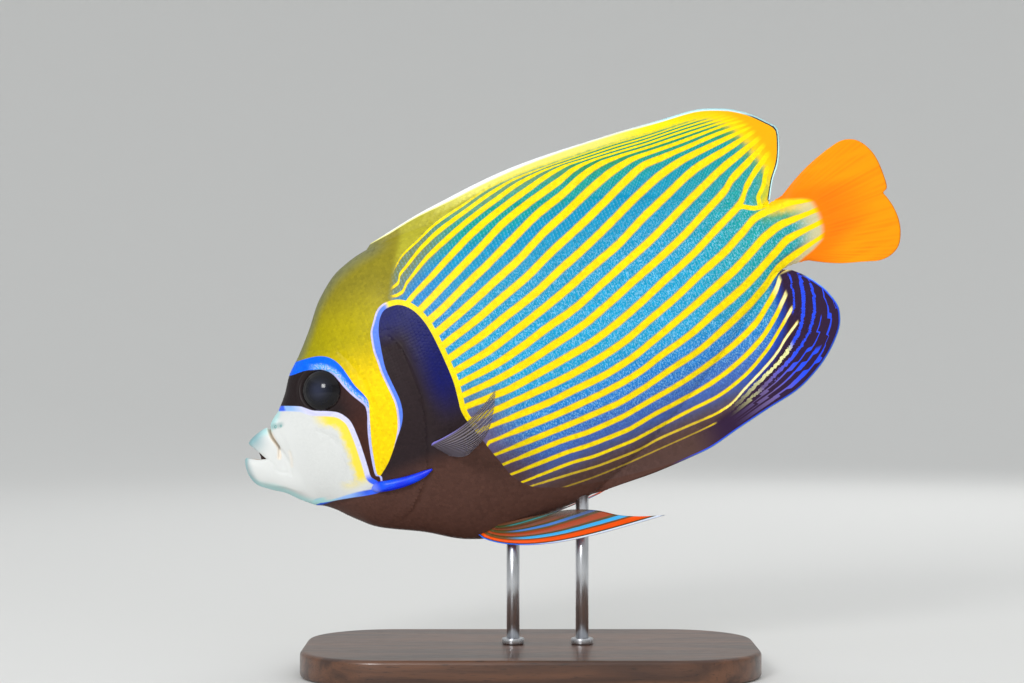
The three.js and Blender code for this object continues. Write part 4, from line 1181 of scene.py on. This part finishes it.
def spreadScales():
    # zone, side, station, share of the zone and spacing of every scale, as rows of arrays
    rows = []
    start, end = scales["reach"]
    samples = np.linspace(0, 1, 60)
    for side in (-1, 1):
        along, odd = start, 0
        while along < end:
            spacing = float(through(scales["spacing"])(along))
            travelled = travelledAlong(skinPlace(np.full(len(samples), along), "side", side, samples))
            count = int(travelled[-1] / (spacing * scales["closeness"]))
            at = (np.arange(count) + 0.5 + 0.5 * odd) / count
            down = np.interp(at[at < 0.995] * travelled[-1], travelled, samples)
            rows.append(("side", side, np.full(len(down), along), down, spacing))
            along += spacing
            odd = 1 - odd
        for zone in ("dorsal", "anal"):
            x, odd = finEnds[zone][0] + scales["finEnds"][0], 0
            while x < finEnds[zone][1] - scales["finEnds"][1]:
                spacing = float(through(scales["finSpacing"])(x))
                pair = np.array([x, x + spacing])
                tip, root = (skinPlace(pair, zone, side, np.full(2, t)) for t in (1.0, 0.0))
                height = np.linalg.norm(tip[0] - root[0])
                opening = np.linalg.norm(tip[1] - tip[0]) / spacing
                up = (np.arange(int(height / spacing)) + 0.5 * odd) * spacing / max(height, 1)
                up = up[(up > scales["finReach"][0]) & (up < scales["finReach"][1])]
                rows.append((zone, side, np.full(len(up), x), up, spacing))
                x += spacing / max(0.55 + 0.45 * opening, 1)
                odd = 1 - odd
    return rows


def skinShare(zone, side, t, along):
    # place on the unwrapped skin, as shares of the way round it and along it
    fin, flat = grid["finColumns"], grid["sideColumns"]
    around = 4 * fin + 2 * flat
    column = {"dorsal": (1 - t) * fin, "side": fin + t * flat, "anal": fin + flat + t * fin}[zone]
    if side > 0:
        column = around - column
    steps = np.cumsum([grid[name] for name in ("mouthRows", "headRows", "torsoRows", "tailRows")])
    row = np.interp(along, [grid["headStart"], grid["torsoStart"], body["stalkEnd"]], steps[:3])
    return np.stack([column / (around + 1) + 0 * row, row / steps[3]], -1)


def plantScales(rows):
    # place, normal, ways back and across, spacing, place on the unwrapped skin, chance and calm of each scale
    random = np.random.default_rng(11)
    gill = smoothLine(relief["gillEdge"])
    bare = smoothLine(scales["bare"], 6, True)
    muzzle = smoothLine(markings["muzzle"], 6, True)
    low, top = scales["gillEnds"]
    planted = {}
    for zone, side, along, t, spacing in rows:
        if not len(along):
            continue
        here = skinPlace(along, zone, side, t)
        flat = here[:, [0, 2]]
        keep = np.hypot(*(flat - eyeSpot).T) > relief["orbitRadius"] + scales["eyeGap"]
        calm = np.ones(len(along))
        name = "fins"
        if zone == "side":
            name = next(word for word, end in scales["pieces"] if along[0] < end)
            keep &= np.hypot(*(flat - relief["pectoralBase"]).T) > scales["pectoralGap"]
            keep &= outsideOf(flat, bare) > 0
            if along[0] < grid["torsoStart"]:
                ahead, behind = scales["gillGaps"]
                bareReach = np.where(along > np.interp(-flat[:, 1], -gill[:, 1], gill[:, 0]), behind, ahead)
                keep &= (distanceTo(flat, gill, 3.0) > bareReach) | (flat[:, 1] > top) | (flat[:, 1] < low)
                calm = 1 - (1 - scales["muzzleLift"]) * smoothStep(0.5, -0.5, outsideOf(flat, muzzle))
        world, after = toWorld(here), toWorld(skinPlace(along + 0.5, zone, side, t))
        shares = skinShare(zone, side, t, along)
        chance = random.normal(size=(len(along), 5))
        group = planted.setdefault(name + ("_left" if side < 0 else "_right"), [])
        for k in np.flatnonzero(keep):
            spot, normal, _, _ = skinTree.find_nearest(Vector(world[k]))
            if normal.y * side < -0.2:
                continue
            back = Vector(after[k] - world[k])
            back = (back - normal * back.dot(normal)).normalized()
            way = normal.cross(back)
            group.append((spot, normal, back, way, spacing / 1000, shares[k], chance[k], calm[k]))
    return planted


def scaleMesh(name, planted):
    # one mesh of scales, each a fan of faces round its middle and a flat back
    outline = np.array(scales["outline"], float)
    rim, count = len(outline), len(planted)
    each = rim + 1
    columns = [np.array(column, float) for column in zip(*planted)]
    spot, normal, back, cross, spacing, shares, chance, calm = columns
    turn, long, wide, lifted, shaded = (chance * scales["spread"]).T
    back, cross = back + cross * turn[:, None], cross - back * turn[:, None]
    length = spacing * scales["length"] * (1 + long)
    width = spacing * scales["width"] * (1 + wide)
    lift = spacing * scales["lift"] * (1 + lifted) * calm
    crown, crownHigh = scales["crown"]
    a, b = np.append(outline, [[crown, 0.0]], 0).T
    high = np.append(smoothStep(0, 0.95, outline[:, 0]) * 1.7 - 0.9, crownHigh)
    co = spot[:, None] + sum(way[:, None] * (part * size[:, None])[..., None] for way, part, size in (
        (back, a + scales["shift"], length), (cross, b, width), (normal, high, lift)))
    under = [(0, k + 1, k) for k in range(1, rim - 1)]
    faces = np.array([(k, (k + 1) % rim, rim) for k in range(rim)] + under)
    if np.linalg.det(np.stack([back[0], cross[0], normal[0]])) < 0:
        faces = faces[:, ::-1]
    index = (faces[None] + np.arange(count)[:, None, None] * each).reshape(-1, 3)
    mesh = bpy.data.meshes.new(name)
    mesh.vertices.add(count * each)
    mesh.loops.add(index.size)
    mesh.polygons.add(len(index))
    mesh.vertices.foreach_set("co", co.astype(np.float32).ravel())
    mesh.loops.foreach_set("vertex_index", index.astype(np.int32).ravel())
    mesh.polygons.foreach_set("loop_start", np.arange(0, index.size, 3, dtype=np.int32))
    mesh.update(calc_edges=True)
    writeFields(mesh, markingFields(toFish(co.reshape(-1, 3))))
    tone = np.repeat(0.5 + np.clip(shaded, -0.5, 0.5) * calm**2, each)
    writeFields(mesh, {"tone": tone, "tip": np.tile(np.append(outline[:, 0], 0.55), count)})
    patch = scales["patch"]
    uv = np.stack([shares[:, :1] + b * patch, shares[:, 1:] + a * patch], -1).reshape(-1, 2)
    layer = mesh.uv_layers.new(name="OFBake")
    layer.data.foreach_set("uv", uv[index.ravel()].astype(np.float32).ravel())
    ends = np.empty(len(mesh.edges) * 2, np.int32)
    mesh.edges.foreach_get("vertices", ends)
    low, top = np.sort(ends.reshape(-1, 2) % each, 1).T
    sharp = mesh.attributes.new("sharp_edge", "BOOLEAN", "EDGE")
    sharp.data.foreach_set("value", (top < rim) & ((top - low == 1) | ((low == 0) & (top == rim - 1))))
    return addPiece(name, mesh, fishSkin)


for word, rows in plantScales(spreadScales()).items():
    scaleMesh("scales_" + word, rows)
    print("scales", word, len(rows), len(rows) * (2 * len(scales["outline"]) - 2), "triangles")


# Eyes and nostrils

eye = {
    "radius": 10.4,
    "flatness": 0.64,
    "sunk": 2.7,
    "pupil": 5.9,
    "cornea": 0.35,         # height of the bulge over the pupil
}


def facing(way, place):
    # turns what points up to a way, and moves it to a place
    matrix = Vector((0, 0, 1)).rotation_difference(way).to_matrix().to_4x4()
    matrix.translation = place
    return matrix


def nostrilMaterial():
    material, tree, shader = newMaterial("nostrilSkin")
    out = field(tree, "fromMiddle")
    # painted shade in the pit of each cup
    colour = blend(tree, step(tree, out, 0.45, 0.8), paint(24, 30, 34), skinColours["spotTeal"])
    colour = blend(tree, step(tree, out, 0.95, 1.3), colour, paint(150, 196, 190))
    feed(tree, shader, {"Base Color": colour})
    dampFinish(tree, shader, 0.6, 0.44, 0.0001)
    return material


def buildNostrils(word, side, material):
    # two little rimmed cups ahead of the eye
    whole = bmesh.new()
    for (along, up), radius in nostrils["spots"]:
        bm = bmesh.new()
        line = [bm.verts.new((out * radius, 0, high * radius)) for out, high in nostrils["profile"]]
        edges = [bm.edges.new(pair) for pair in zip(line[:-1], line[1:])]
        bmesh.ops.spin(bm, geom=line + edges, cent=(0, 0, 0), axis=(0, 0, 1), angle=2 * math.pi, steps=32,
                       use_merge=True)
        bmesh.ops.remove_doubles(bm, verts=bm.verts, dist=0.0001)
        bmesh.ops.transform(bm, matrix=Matrix.Scale(0.001, 4), verts=bm.verts)
        middle = bm.verts.layers.float.new("fromMiddle")
        for v in bm.verts:
            v[middle] = math.hypot(v.co.x, v.co.y) / (radius / 1000)
        guess = Vector(toWorld([along, side * (fleshAt(along, up) + 2), up]))
        spot, normal, _, _ = skinTree.find_nearest(guess)
        bm.transform(facing(normal, spot))
        cup = meshOf("cup", bm)
        whole.from_mesh(cup)
        bpy.data.meshes.remove(cup)
    bmesh.ops.recalc_face_normals(whole, faces=whole.faces)
    addPiece("nostrils_" + word, meshOf("nostrils_" + word, whole), material)


def eyeSeat(side):
    # place on the body's side and the way the eye looks
    along, up = eyeSpot
    slopeAlong = (fleshAt(along + 1, up) - fleshAt(along - 1, up)) / 2
    slopeUp = (fleshAt(along, up + 1) - fleshAt(along, up - 1)) / 2
    normal = np.array([-slopeAlong, side, -slopeUp])
    return np.array([along, side * fleshAt(along, up), up]), normal / np.linalg.norm(normal)


def eyeMaterial():
    material, tree, shader = newMaterial("eyeball")
    ring = field(tree, "fromPupil")
    grain = noise(tree, 700, 3)
    iris = blend(tree, step(tree, grain, 0.4, 0.62), paint(24, 20, 22), paint(46, 37, 33))
    iris = blend(tree, step(tree, ring, 0.95, 0.8), iris, paint(16, 14, 17))
    # painted bluish sheen, lighter in the middle of the pupil
    pupil = blend(tree, step(tree, ring, 0.62, 0.0), paint(16, 17, 24), paint(42, 46, 64))
    feed(tree, shader, {
        "Base Color": blend(tree, step(tree, ring, 0.67, 0.64), iris, pupil),
        "Roughness": sums(tree, "MULTIPLY_ADD", grain, 0.05, 0.12),
        "Specular IOR Level": 0.12, "Coat Weight": 0.28, "Coat Roughness": 0.03})
    bump(tree, shader, step(tree, ring, 0.7, 0.66), 0.0002, 0.4)
    return material


def buildEye(word, side, material):
    surface, normal = eyeSeat(side)
    bm = bmesh.new()
    bmesh.ops.create_uvsphere(bm, u_segments=64, v_segments=40, radius=1)
    fromPupil = bm.verts.layers.float.new("fromPupil")
    wide, high = eye["radius"], eye["radius"] * eye["flatness"]
    for v in bm.verts:
        x, y, z = v.co
        out = math.hypot(x, y)
        v[fromPupil] = out if z > 0 else 1.0
        bulge = eye["cornea"] * math.exp(-((out * wide / eye["pupil"]) ** 4)) * (z > 0)
        v.co = (x * wide, y * wide, z * high + bulge)
    bm.transform(facing(Vector(normal), Vector(surface - normal * eye["sunk"])))
    mesh = meshOf("eye_" + word, bm)
    setPlaces(mesh, toWorld(placesOf(mesh)))
    addPiece("eyeball_" + word, mesh, material, ["eye_" + word])


# Cheek spines

cheekSpine = {
    "path": [(48, -37.7), (52.5, -38.5), (57, -39.4), (62, -40.1), (67, -40.4), (72, -40.2), (77, -39.5)],
    "radii": [(0, 1.2), (0.12, 2.5), (0.35, 2.45), (0.6, 2.15), (0.85, 1.5), (1, 0.35)],
    "flatness": 0.75,       # depth against height
    "lift": [(0, -1.4), (0.1, 0.1), (0.24, 1.35), (1, 1.35)],   # of its middle over the skin
}


def hornMaterial():
    material, tree, shader = newMaterial("spineHorn")
    grain = noise(tree, 300, 3, (4, 1, 1))
    colour = blend(tree, step(tree, grain, 0.4, 0.7), paint(0, 40, 225), paint(0, 80, 250))
    colour = blend(tree, step(tree, field(tree, "alongHorn"), 0.16, 0.02), colour, paint(110, 135, 252))
    feed(tree, shader, {"Base Color": colour, "Specular IOR Level": 0.3, "Coat Weight": 0.1,
                        "Coat Roughness": 0.2})
    dampFinish(tree, shader, 0.5, 0.36, 0.00008, 0.4)
    return material


def sweep(bm, line, radii):
    # a tube along a line of places, closed at both ends
    ring = None
    for k, (place, radius) in enumerate(zip(line, radii)):
        ahead = Vector(line[min(k + 1, len(line) - 1)] - line[max(k - 1, 0)])
        seat = facing(ahead.normalized(), Vector(place))
        made = bmesh.ops.create_circle(bm, segments=20, radius=radius, matrix=seat)["verts"]
        if ring:
            edges = [e for v in ring + made for e in v.link_edges if len(e.link_faces) < 2]
            bmesh.ops.bridge_loops(bm, edges=list(set(edges)))
        else:
            bmesh.ops.contextual_create(bm, geom=made)
        ring = made
    bmesh.ops.contextual_create(bm, geom=ring)


def buildCheekSpine(word, side, material):
    along, up = smoothLine(cheekSpine["path"], 8).T
    share = np.linspace(0, 1, len(along))
    across = side * (fleshAt(along, up) + through(cheekSpine["lift"])(share))
    bm = bmesh.new()
    sweep(bm, np.stack([along, across, up], -1), through(cheekSpine["radii"])(share))
    for v in bm.verts:
        middle = np.interp(v.co.x, along, across)
        v.co.y = middle + cheekSpine["flatness"] * (v.co.y - middle)
    bmesh.ops.recalc_face_normals(bm, faces=bm.faces)
    mesh = meshOf("cheek_spine_" + word, bm)
    fish = placesOf(mesh)
    writeFields(mesh, {"alongHorn": (fish[:, 0] - along[0]) / (along[-1] - along[0])})
    setPlaces(mesh, toWorld(fish))
    addPiece("cheek_horn_" + word, mesh, material, ["cheek_spine_" + word])


# Paired fins

pairedFins = {
    "pectoralRoot": [(79.5, -28.5), (86.3, -35.3)],
    "pectoralTips": [(117.7, -62, -16.2), (116.5, -69, -19.2), (114, -71, -23.8), (110.4, -66, -29.1),
                     (105.4, -56, -34.2), (99.4, -44, -36.6)],
    "pectoralSag": (0, -3, -3.2),
    "pectoralRays": 17,
    "pectoralSwell": 1.0,   # how much thicker the root is than the membrane
    "pelvicRoot": [(84, -4.4, -75.5), (95, -5.4, -75)],
    "pelvicTips": [(168, -18, -99), (157, -17, -95.3), (148, -15, -91.2), (139, -12, -85.4), (127, -9, -80.6),
                   (112, -6.6, -77.6)],
    "pelvicSag": 8.2,
    # the right pelvic fin is held higher
    "flatPelvicTips": [(155, -44, -81.5), (149, -39, -82), (142, -32, -82.4), (134, -24, -82),
                       (124, -15, -80.6), (111, -8, -78.4)],
    "flatPelvicSag": 4.0,
    "pelvicRays": 8,
    "pelvicSwell": 0.9,
    "rootDepth": 3.0,       # of the pectoral root in the body
    "membraneHalf": 0.16,
    "rayHigh": 0.2,
    "rayColumns": 6,        # columns of the mesh from one ray to the next
    "rows": 44,
}


def evenly(points, share):
    # places at shares of the length of a smooth line
    line = smoothLine(points, 24)
    travelled = travelledAlong(line)
    return np.stack([np.interp(share, travelled / travelled[-1], values) for values in line.T], -1)


def foldedSheet(kind, word, place, material):
    # a closed membrane whose two faces are one grid folded over its leading and trailing edge
    rays = pairedFins[kind + "Rays"]
    columns, rows = rays * pairedFins["rayColumns"], pairedFins["rows"]
    name = kind + "_membrane_" + word
    mesh, column, row = gridMesh(name, 2 * columns, rows)
    u, v = np.meshgrid(np.linspace(0, 1, columns + 1), np.linspace(0, 1, rows + 1), indexing="ij")
    middle = place(u, v)
    normal = np.cross(np.gradient(middle, axis=0), np.gradient(middle, axis=1))
    normal /= np.maximum(np.linalg.norm(normal, axis=2, keepdims=True), 1e-9)
    ray = ripple(rays * u) ** 2
    half = pairedFins["membraneHalf"] * (1.1 - 0.6 * v) + pairedFins[kind + "Swell"] * (1 - v) ** 3
    half = half + pairedFins["rayHigh"] * ray * (1 - 0.75 * v)
    half = half * smoothStep(1, 0.95, v) * np.clip(30 * np.minimum(u, 1 - u), 0, 1) ** 0.5 * (v > 0)
    folded = column > columns
    over = np.where(folded, 2 * columns - column, column)
    out = half[over, row] * np.where(folded, -1, 1)
    setPlaces(mesh, toWorld(middle[over, row] + normal[over, row] * out[:, None]))
    writeFields(mesh, {"rayAt": over / columns, "reach": row / rows, "rayLine": ray[over, row]})
    weld(mesh, 0.000004)
    addPiece(name, mesh, material, [kind + "_fin_" + word])


def pectoralPlace(side):
    (x0, z0), (x1, z1) = pairedFins["pectoralRoot"]
    tips = np.array(pairedFins["pectoralTips"], float) * [1, -side, 1]
    sag = np.array(pairedFins["pectoralSag"]) * [1, -side, 1]

    def place(u, v):
        x, z = x0 + (x1 - x0) * u, z0 + (z1 - z0) * u
        root = np.stack([x, side * (fleshAt(x, z) - pairedFins["rootDepth"]), z], -1)
        tip = evenly(tips, u)
        return root + (tip - root) * v[..., None] + sag * np.sin(np.pi * v)[..., None]

    return place


def pelvicPlace(side):
    points, sag = ("pelvicTips", "pelvicSag") if side < 0 else ("flatPelvicTips", "flatPelvicSag")
    tips = np.array(pairedFins[points], float) * [1, -side, 1]
    first, last = np.array(pairedFins["pelvicRoot"], float) * [1, -side, 1]

    def place(u, v):
        root = first + (last - first) * u[..., None]
        at = root + (evenly(tips, u) - root) * v[..., None]
        at[..., 2] -= pairedFins[sag] * (1 - u) * np.sin(np.pi * v**0.62)
        return at

    return place


def pectoralMaterial():
    material, tree, shader = newMaterial("pectoralMembrane")
    ray, reach, across = field(tree, "rayLine"), field(tree, "reach"), field(tree, "rayAt")
    colour = blend(tree, noise(tree, 140), paint(42, 34, 39), paint(68, 58, 66))
    colour = blend(tree, times(tree, ray, 0.75), colour, paint(158, 150, 164))
    leading = times(tree, step(tree, across, 0.12, 0.02), step(tree, reach, 0.6, 0.2))
    colour = blend(tree, leading, colour, paint(150, 140, 235))
    clear = times(tree, sums(tree, "SUBTRACT", 1.0, ray), step(tree, reach, 0.25, 0.75), 0.7)
    feed(tree, shader, {"Base Color": colour, "Alpha": sums(tree, "SUBTRACT", 1.0, clear)})
    dampFinish(tree, shader, 0.5, 0.4, 0.00008)
    return material


def pelvicMaterial():
    material, tree, shader = newMaterial("pelvicMembrane")
    across, reach = field(tree, "rayAt"), field(tree, "reach")
    waver = sums(tree, "MULTIPLY_ADD", noise(tree, 90), 0.03, sums(tree, "SUBTRACT", across, 0.015))
    colour = blend(tree, step(tree, waver, 0.26, 0.4), paint(238, 80, 0), paint(158, 56, 0))
    colour = blend(tree, step(tree, waver, 0.5, 0.72), colour, paint(88, 46, 16))
    # blue lines with a dark green edge
    for middle, width, line in ((0.31, 0.04, paint(50, 165, 225)), (0.55, 0.03, paint(44, 110, 190)),
                                (0.82, 0.025, paint(30, 120, 125))):
        away = sums(tree, "ABSOLUTE", sums(tree, "SUBTRACT", waver, middle))
        edge = times(tree, step(tree, away, width + 0.05, width + 0.025), 0.85)
        colour = blend(tree, edge, colour, paint(44, 66, 26))
        shown = times(tree, step(tree, away, width * 1.1, width * 0.7), step(tree, reach, 0.12, 0.3))
        colour = blend(tree, shown, colour, line)
    dull = times(tree, step(tree, across, 0.42, 0.6), step(tree, reach, 0.6, 0.95), 0.7)
    colour = blend(tree, dull, colour, paint(62, 42, 34))
    colour = blend(tree, step(tree, across, 0.115, 0.095), colour, paint(24, 62, 34))
    edge = blend(tree, step(tree, reach, 0.15, 0.5), paint(60, 115, 255), paint(225, 235, 255))
    colour = blend(tree, step(tree, across, 0.075, 0.06), colour, edge)
    clear = times(tree, step(tree, reach, 0.6, 0.98), step(tree, across, 0.35, 0.7), 0.35)
    feed(tree, shader, {"Base Color": colour, "Alpha": sums(tree, "SUBTRACT", 1.0, clear),
                        "Specular IOR Level": 0.15})
    dampFinish(tree, shader, 0.5, 0.4, 0.00008)
    return material


eyeball, nostrilSkin, horn = eyeMaterial(), nostrilMaterial(), hornMaterial()
pectoralSkin, pelvicSkin = pectoralMaterial(), pelvicMaterial()
for word, side in (("left", -1), ("right", 1)):
    buildEye(word, side, eyeball)
    buildNostrils(word, side, nostrilSkin)
    buildCheekSpine(word, side, horn)
    foldedSheet("pectoral", word, pectoralPlace(side), pectoralSkin)
    foldedSheet("pelvic", word, pelvicPlace(side), pelvicSkin)
print("eyes, spines and paired fins")


# Stand

stand = {
    "size": (210.0, 120.0, 12.0),
    "corner": 40.0,
    "edge": 2.0,
    "rodRadius": 3.0,
    "collarRadius": 5.2,
    "collarHigh": 3.0,
    "collarEdge": 0.7,
    "woodGrain": (1, 1 / 14, 1 / 14),   # size of its grain along the base, across it and up it
}


def woodMaterial():
    material, tree, shader = newMaterial("darkWood")
    rings = noise(tree, 9, 6, stand["woodGrain"], 0, 0.6)
    pores = noise(tree, 120, 2, stand["woodGrain"], 0)
    colour = blend(tree, step(tree, rings, 0.35, 0.65), paint(58, 34, 22), paint(98, 62, 40))
    colour = blend(tree, times(tree, step(tree, pores, 0.6, 0.7), 0.6), colour, paint(30, 18, 12))
    feed(tree, shader, {
        "Base Color": colour, "Roughness": sums(tree, "MULTIPLY_ADD", pores, 0.2, 0.28),
        "Coat Weight": 0.35, "Coat Roughness": 0.25})
    bump(tree, shader, sums(tree, "ADD", times(tree, rings, 0.3), pores), 0.0002, 0.35)
    return material


def steelMaterial():
    material, tree, shader = newMaterial("brushedSteel")
    brushed = noise(tree, 900, 3, (1, 1, 30), 0)
    feed(tree, shader, {"Base Color": paint(200, 202, 206), "Metallic": 1.0,
                        "Roughness": sums(tree, "MULTIPLY_ADD", brushed, 0.2, 0.2)})
    bump(tree, shader, brushed, 0.00005, 0.4)
    return material


def roundEdges(bm, edges, width, steps):
    bmesh.ops.bevel(bm, geom=edges, offset=width, offset_type="OFFSET", affect="EDGES", segments=steps,
                    profile=0.5, material=-1)


def buildBase(material):
    high = stand["size"][2]
    bm = bmesh.new()
    block = Matrix.Translation((0, 0, high / 2)) @ Matrix.Diagonal((*stand["size"], 1))
    bmesh.ops.create_cube(bm, size=1, matrix=block)
    upright = [e for e in bm.edges if abs(e.verts[0].co.z - e.verts[1].co.z) > high / 2]
    roundEdges(bm, upright, stand["corner"], 20)
    rims = [e for e in bm.edges if e.verts[0].co.z == e.verts[1].co.z and len(e.link_faces) == 2
            and any(abs(f.normal.z) > 0.9 for f in e.link_faces)]
    roundEdges(bm, rims, stand["edge"], 5)
    bmesh.ops.transform(bm, matrix=Matrix.Scale(0.001, 4), verts=bm.verts)
    bmesh.ops.recalc_face_normals(bm, faces=bm.faces)
    piece = addPiece("wooden_base", meshOf("wooden_base", bm), material, ["stand_base"])
    for polygon in piece.data.polygons:
        polygon.use_smooth = abs(polygon.normal.z) < 0.98


def cylinder(radius, tall, middle):
    bm = bmesh.new()
    bmesh.ops.create_cone(bm, cap_ends=True, segments=48, radius1=radius, radius2=radius, depth=tall,
                          matrix=Matrix.Translation(middle))
    return bm


def buildRod(word, material):
    # a rod and the collar where it leaves the base
    low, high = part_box("stand_rod_" + word)
    middle = (Vector(low) + Vector(high)) / 2
    rod = cylinder(stand["rodRadius"] / 1000, high[2] - low[2], middle)
    addPiece("rod_" + word, meshOf("rod_" + word, rod), material, ["stand_rod_" + word])
    tall = stand["collarHigh"] / 1000
    collar = cylinder(stand["collarRadius"] / 1000, tall, (*middle.xy, stand["size"][2] / 1000 + tall / 2))
    rims = [e for e in collar.edges if abs(e.verts[0].co.z - e.verts[1].co.z) < 1e-6]
    roundEdges(collar, rims, stand["collarEdge"] / 1000, 3)
    addPiece("collar_" + word, meshOf("collar_" + word, collar), material)


buildBase(woodMaterial())
steel = steelMaterial()
for word in ("front", "rear"):
    buildRod(word, steel)
print("stand")


# Stage, lights and camera

stage = {
    "lens": 85.0,
    "viewWidth": 0.475,     # width of the photograph's frame at the fish
    "aimX": -0.0085,
    "aimZ": 0.1523,
    "floorRadius": 1.6,     # flat middle of the floor, before it curves up into the wall
    "curve": 2.0,
    "wall": 0.2,
    "sky": 0.84,
    # name, place, what it points at, size, power and whether it is mirrored in glossy things
    "lamps": [("key", (-0.7, -1.7, 0.95), (0.02, 0, 0.15), 0.5, 20, True),
              ("fill", (1.0, -1.6, 0.4), (0.02, 0, 0.15), 1.0, 8, False),
              ("top", (0.1, 0.5, 1.7), (0.02, 0, 0.15), 1.0, 5, False),
              ("back", (0.5, 1.3, 0.8), (0.02, 0, 0.15), 0.9, 4, False)],
}


def buildStage():
    # a round floor that curves up into a pale wall
    bm = bmesh.new()
    flat, curve = stage["floorRadius"], stage["curve"]
    edge = bm.verts.new((flat, 0, 0))
    bm.edges.new((bm.verts.new((0, 0, 0)), edge))
    bmesh.ops.spin(bm, geom=[edge], cent=(flat, 0, curve), axis=(0, -1, 0), angle=math.pi / 2, steps=24)
    top = max(bm.verts, key=lambda v: v.co.z)
    raised = bmesh.ops.extrude_vert_indiv(bm, verts=[top])["verts"]
    bmesh.ops.translate(bm, verts=raised, vec=(0, 0, stage["wall"]))
    bmesh.ops.spin(bm, geom=bm.verts[:] + bm.edges[:], cent=(0, 0, 0), axis=(0, 0, 1), angle=2 * math.pi,
                   steps=96, use_merge=True)
    bmesh.ops.remove_doubles(bm, verts=bm.verts, dist=0.0001)
    bmesh.ops.recalc_face_normals(bm, faces=bm.faces)
    floor = meshOf("floor", bm)
    floor.polygons.foreach_set("use_smooth", [True] * len(floor.polygons))
    ground = bpy.data.objects.new("floor", floor)
    bpy.context.scene.collection.objects.link(ground)
    material, tree, shader = newMaterial("paleFloor")
    feed(tree, shader, {"Base Color": paint(208, 208, 206), "Roughness": 0.8})
    floor.materials.append(material)


def buildLights():
    world = bpy.data.worlds.new("studio")
    bpy.context.scene.world = world
    world.use_nodes = True
    tree = world.node_tree
    feed(tree, tree.nodes["Background"], {"Color": (0.96, 0.98, 1.0, 1), "Strength": stage["sky"]})
    for name, place, target, size, power, mirrored in stage["lamps"]:
        light = bpy.data.lights.new(name, "AREA")
        light.size = size
        light.energy = power
        lamp = bpy.data.objects.new(name, light)
        lamp.location = place
        lamp.visible_glossy = mirrored
        lamp.rotation_mode = "QUATERNION"
        lamp.rotation_quaternion = (Vector(target) - Vector(place)).to_track_quat("-Z", "Y")
        bpy.context.scene.collection.objects.link(lamp)


def buildCamera():
    camera = bpy.data.cameras.new("camera")
    camera.lens = stage["lens"]
    camera.sensor_width = 36
    camera.clip_end = 50
    holder = bpy.data.objects.new("camera", camera)
    distance = stage["viewWidth"] * camera.lens / camera.sensor_width
    holder.location = (stage["aimX"], -distance, stage["aimZ"])
    holder.rotation_euler = (math.pi / 2, 0, 0)
    bpy.context.scene.collection.objects.link(holder)
    bpy.context.scene.camera = holder


buildStage()
buildLights()
buildCamera()
print("stage")
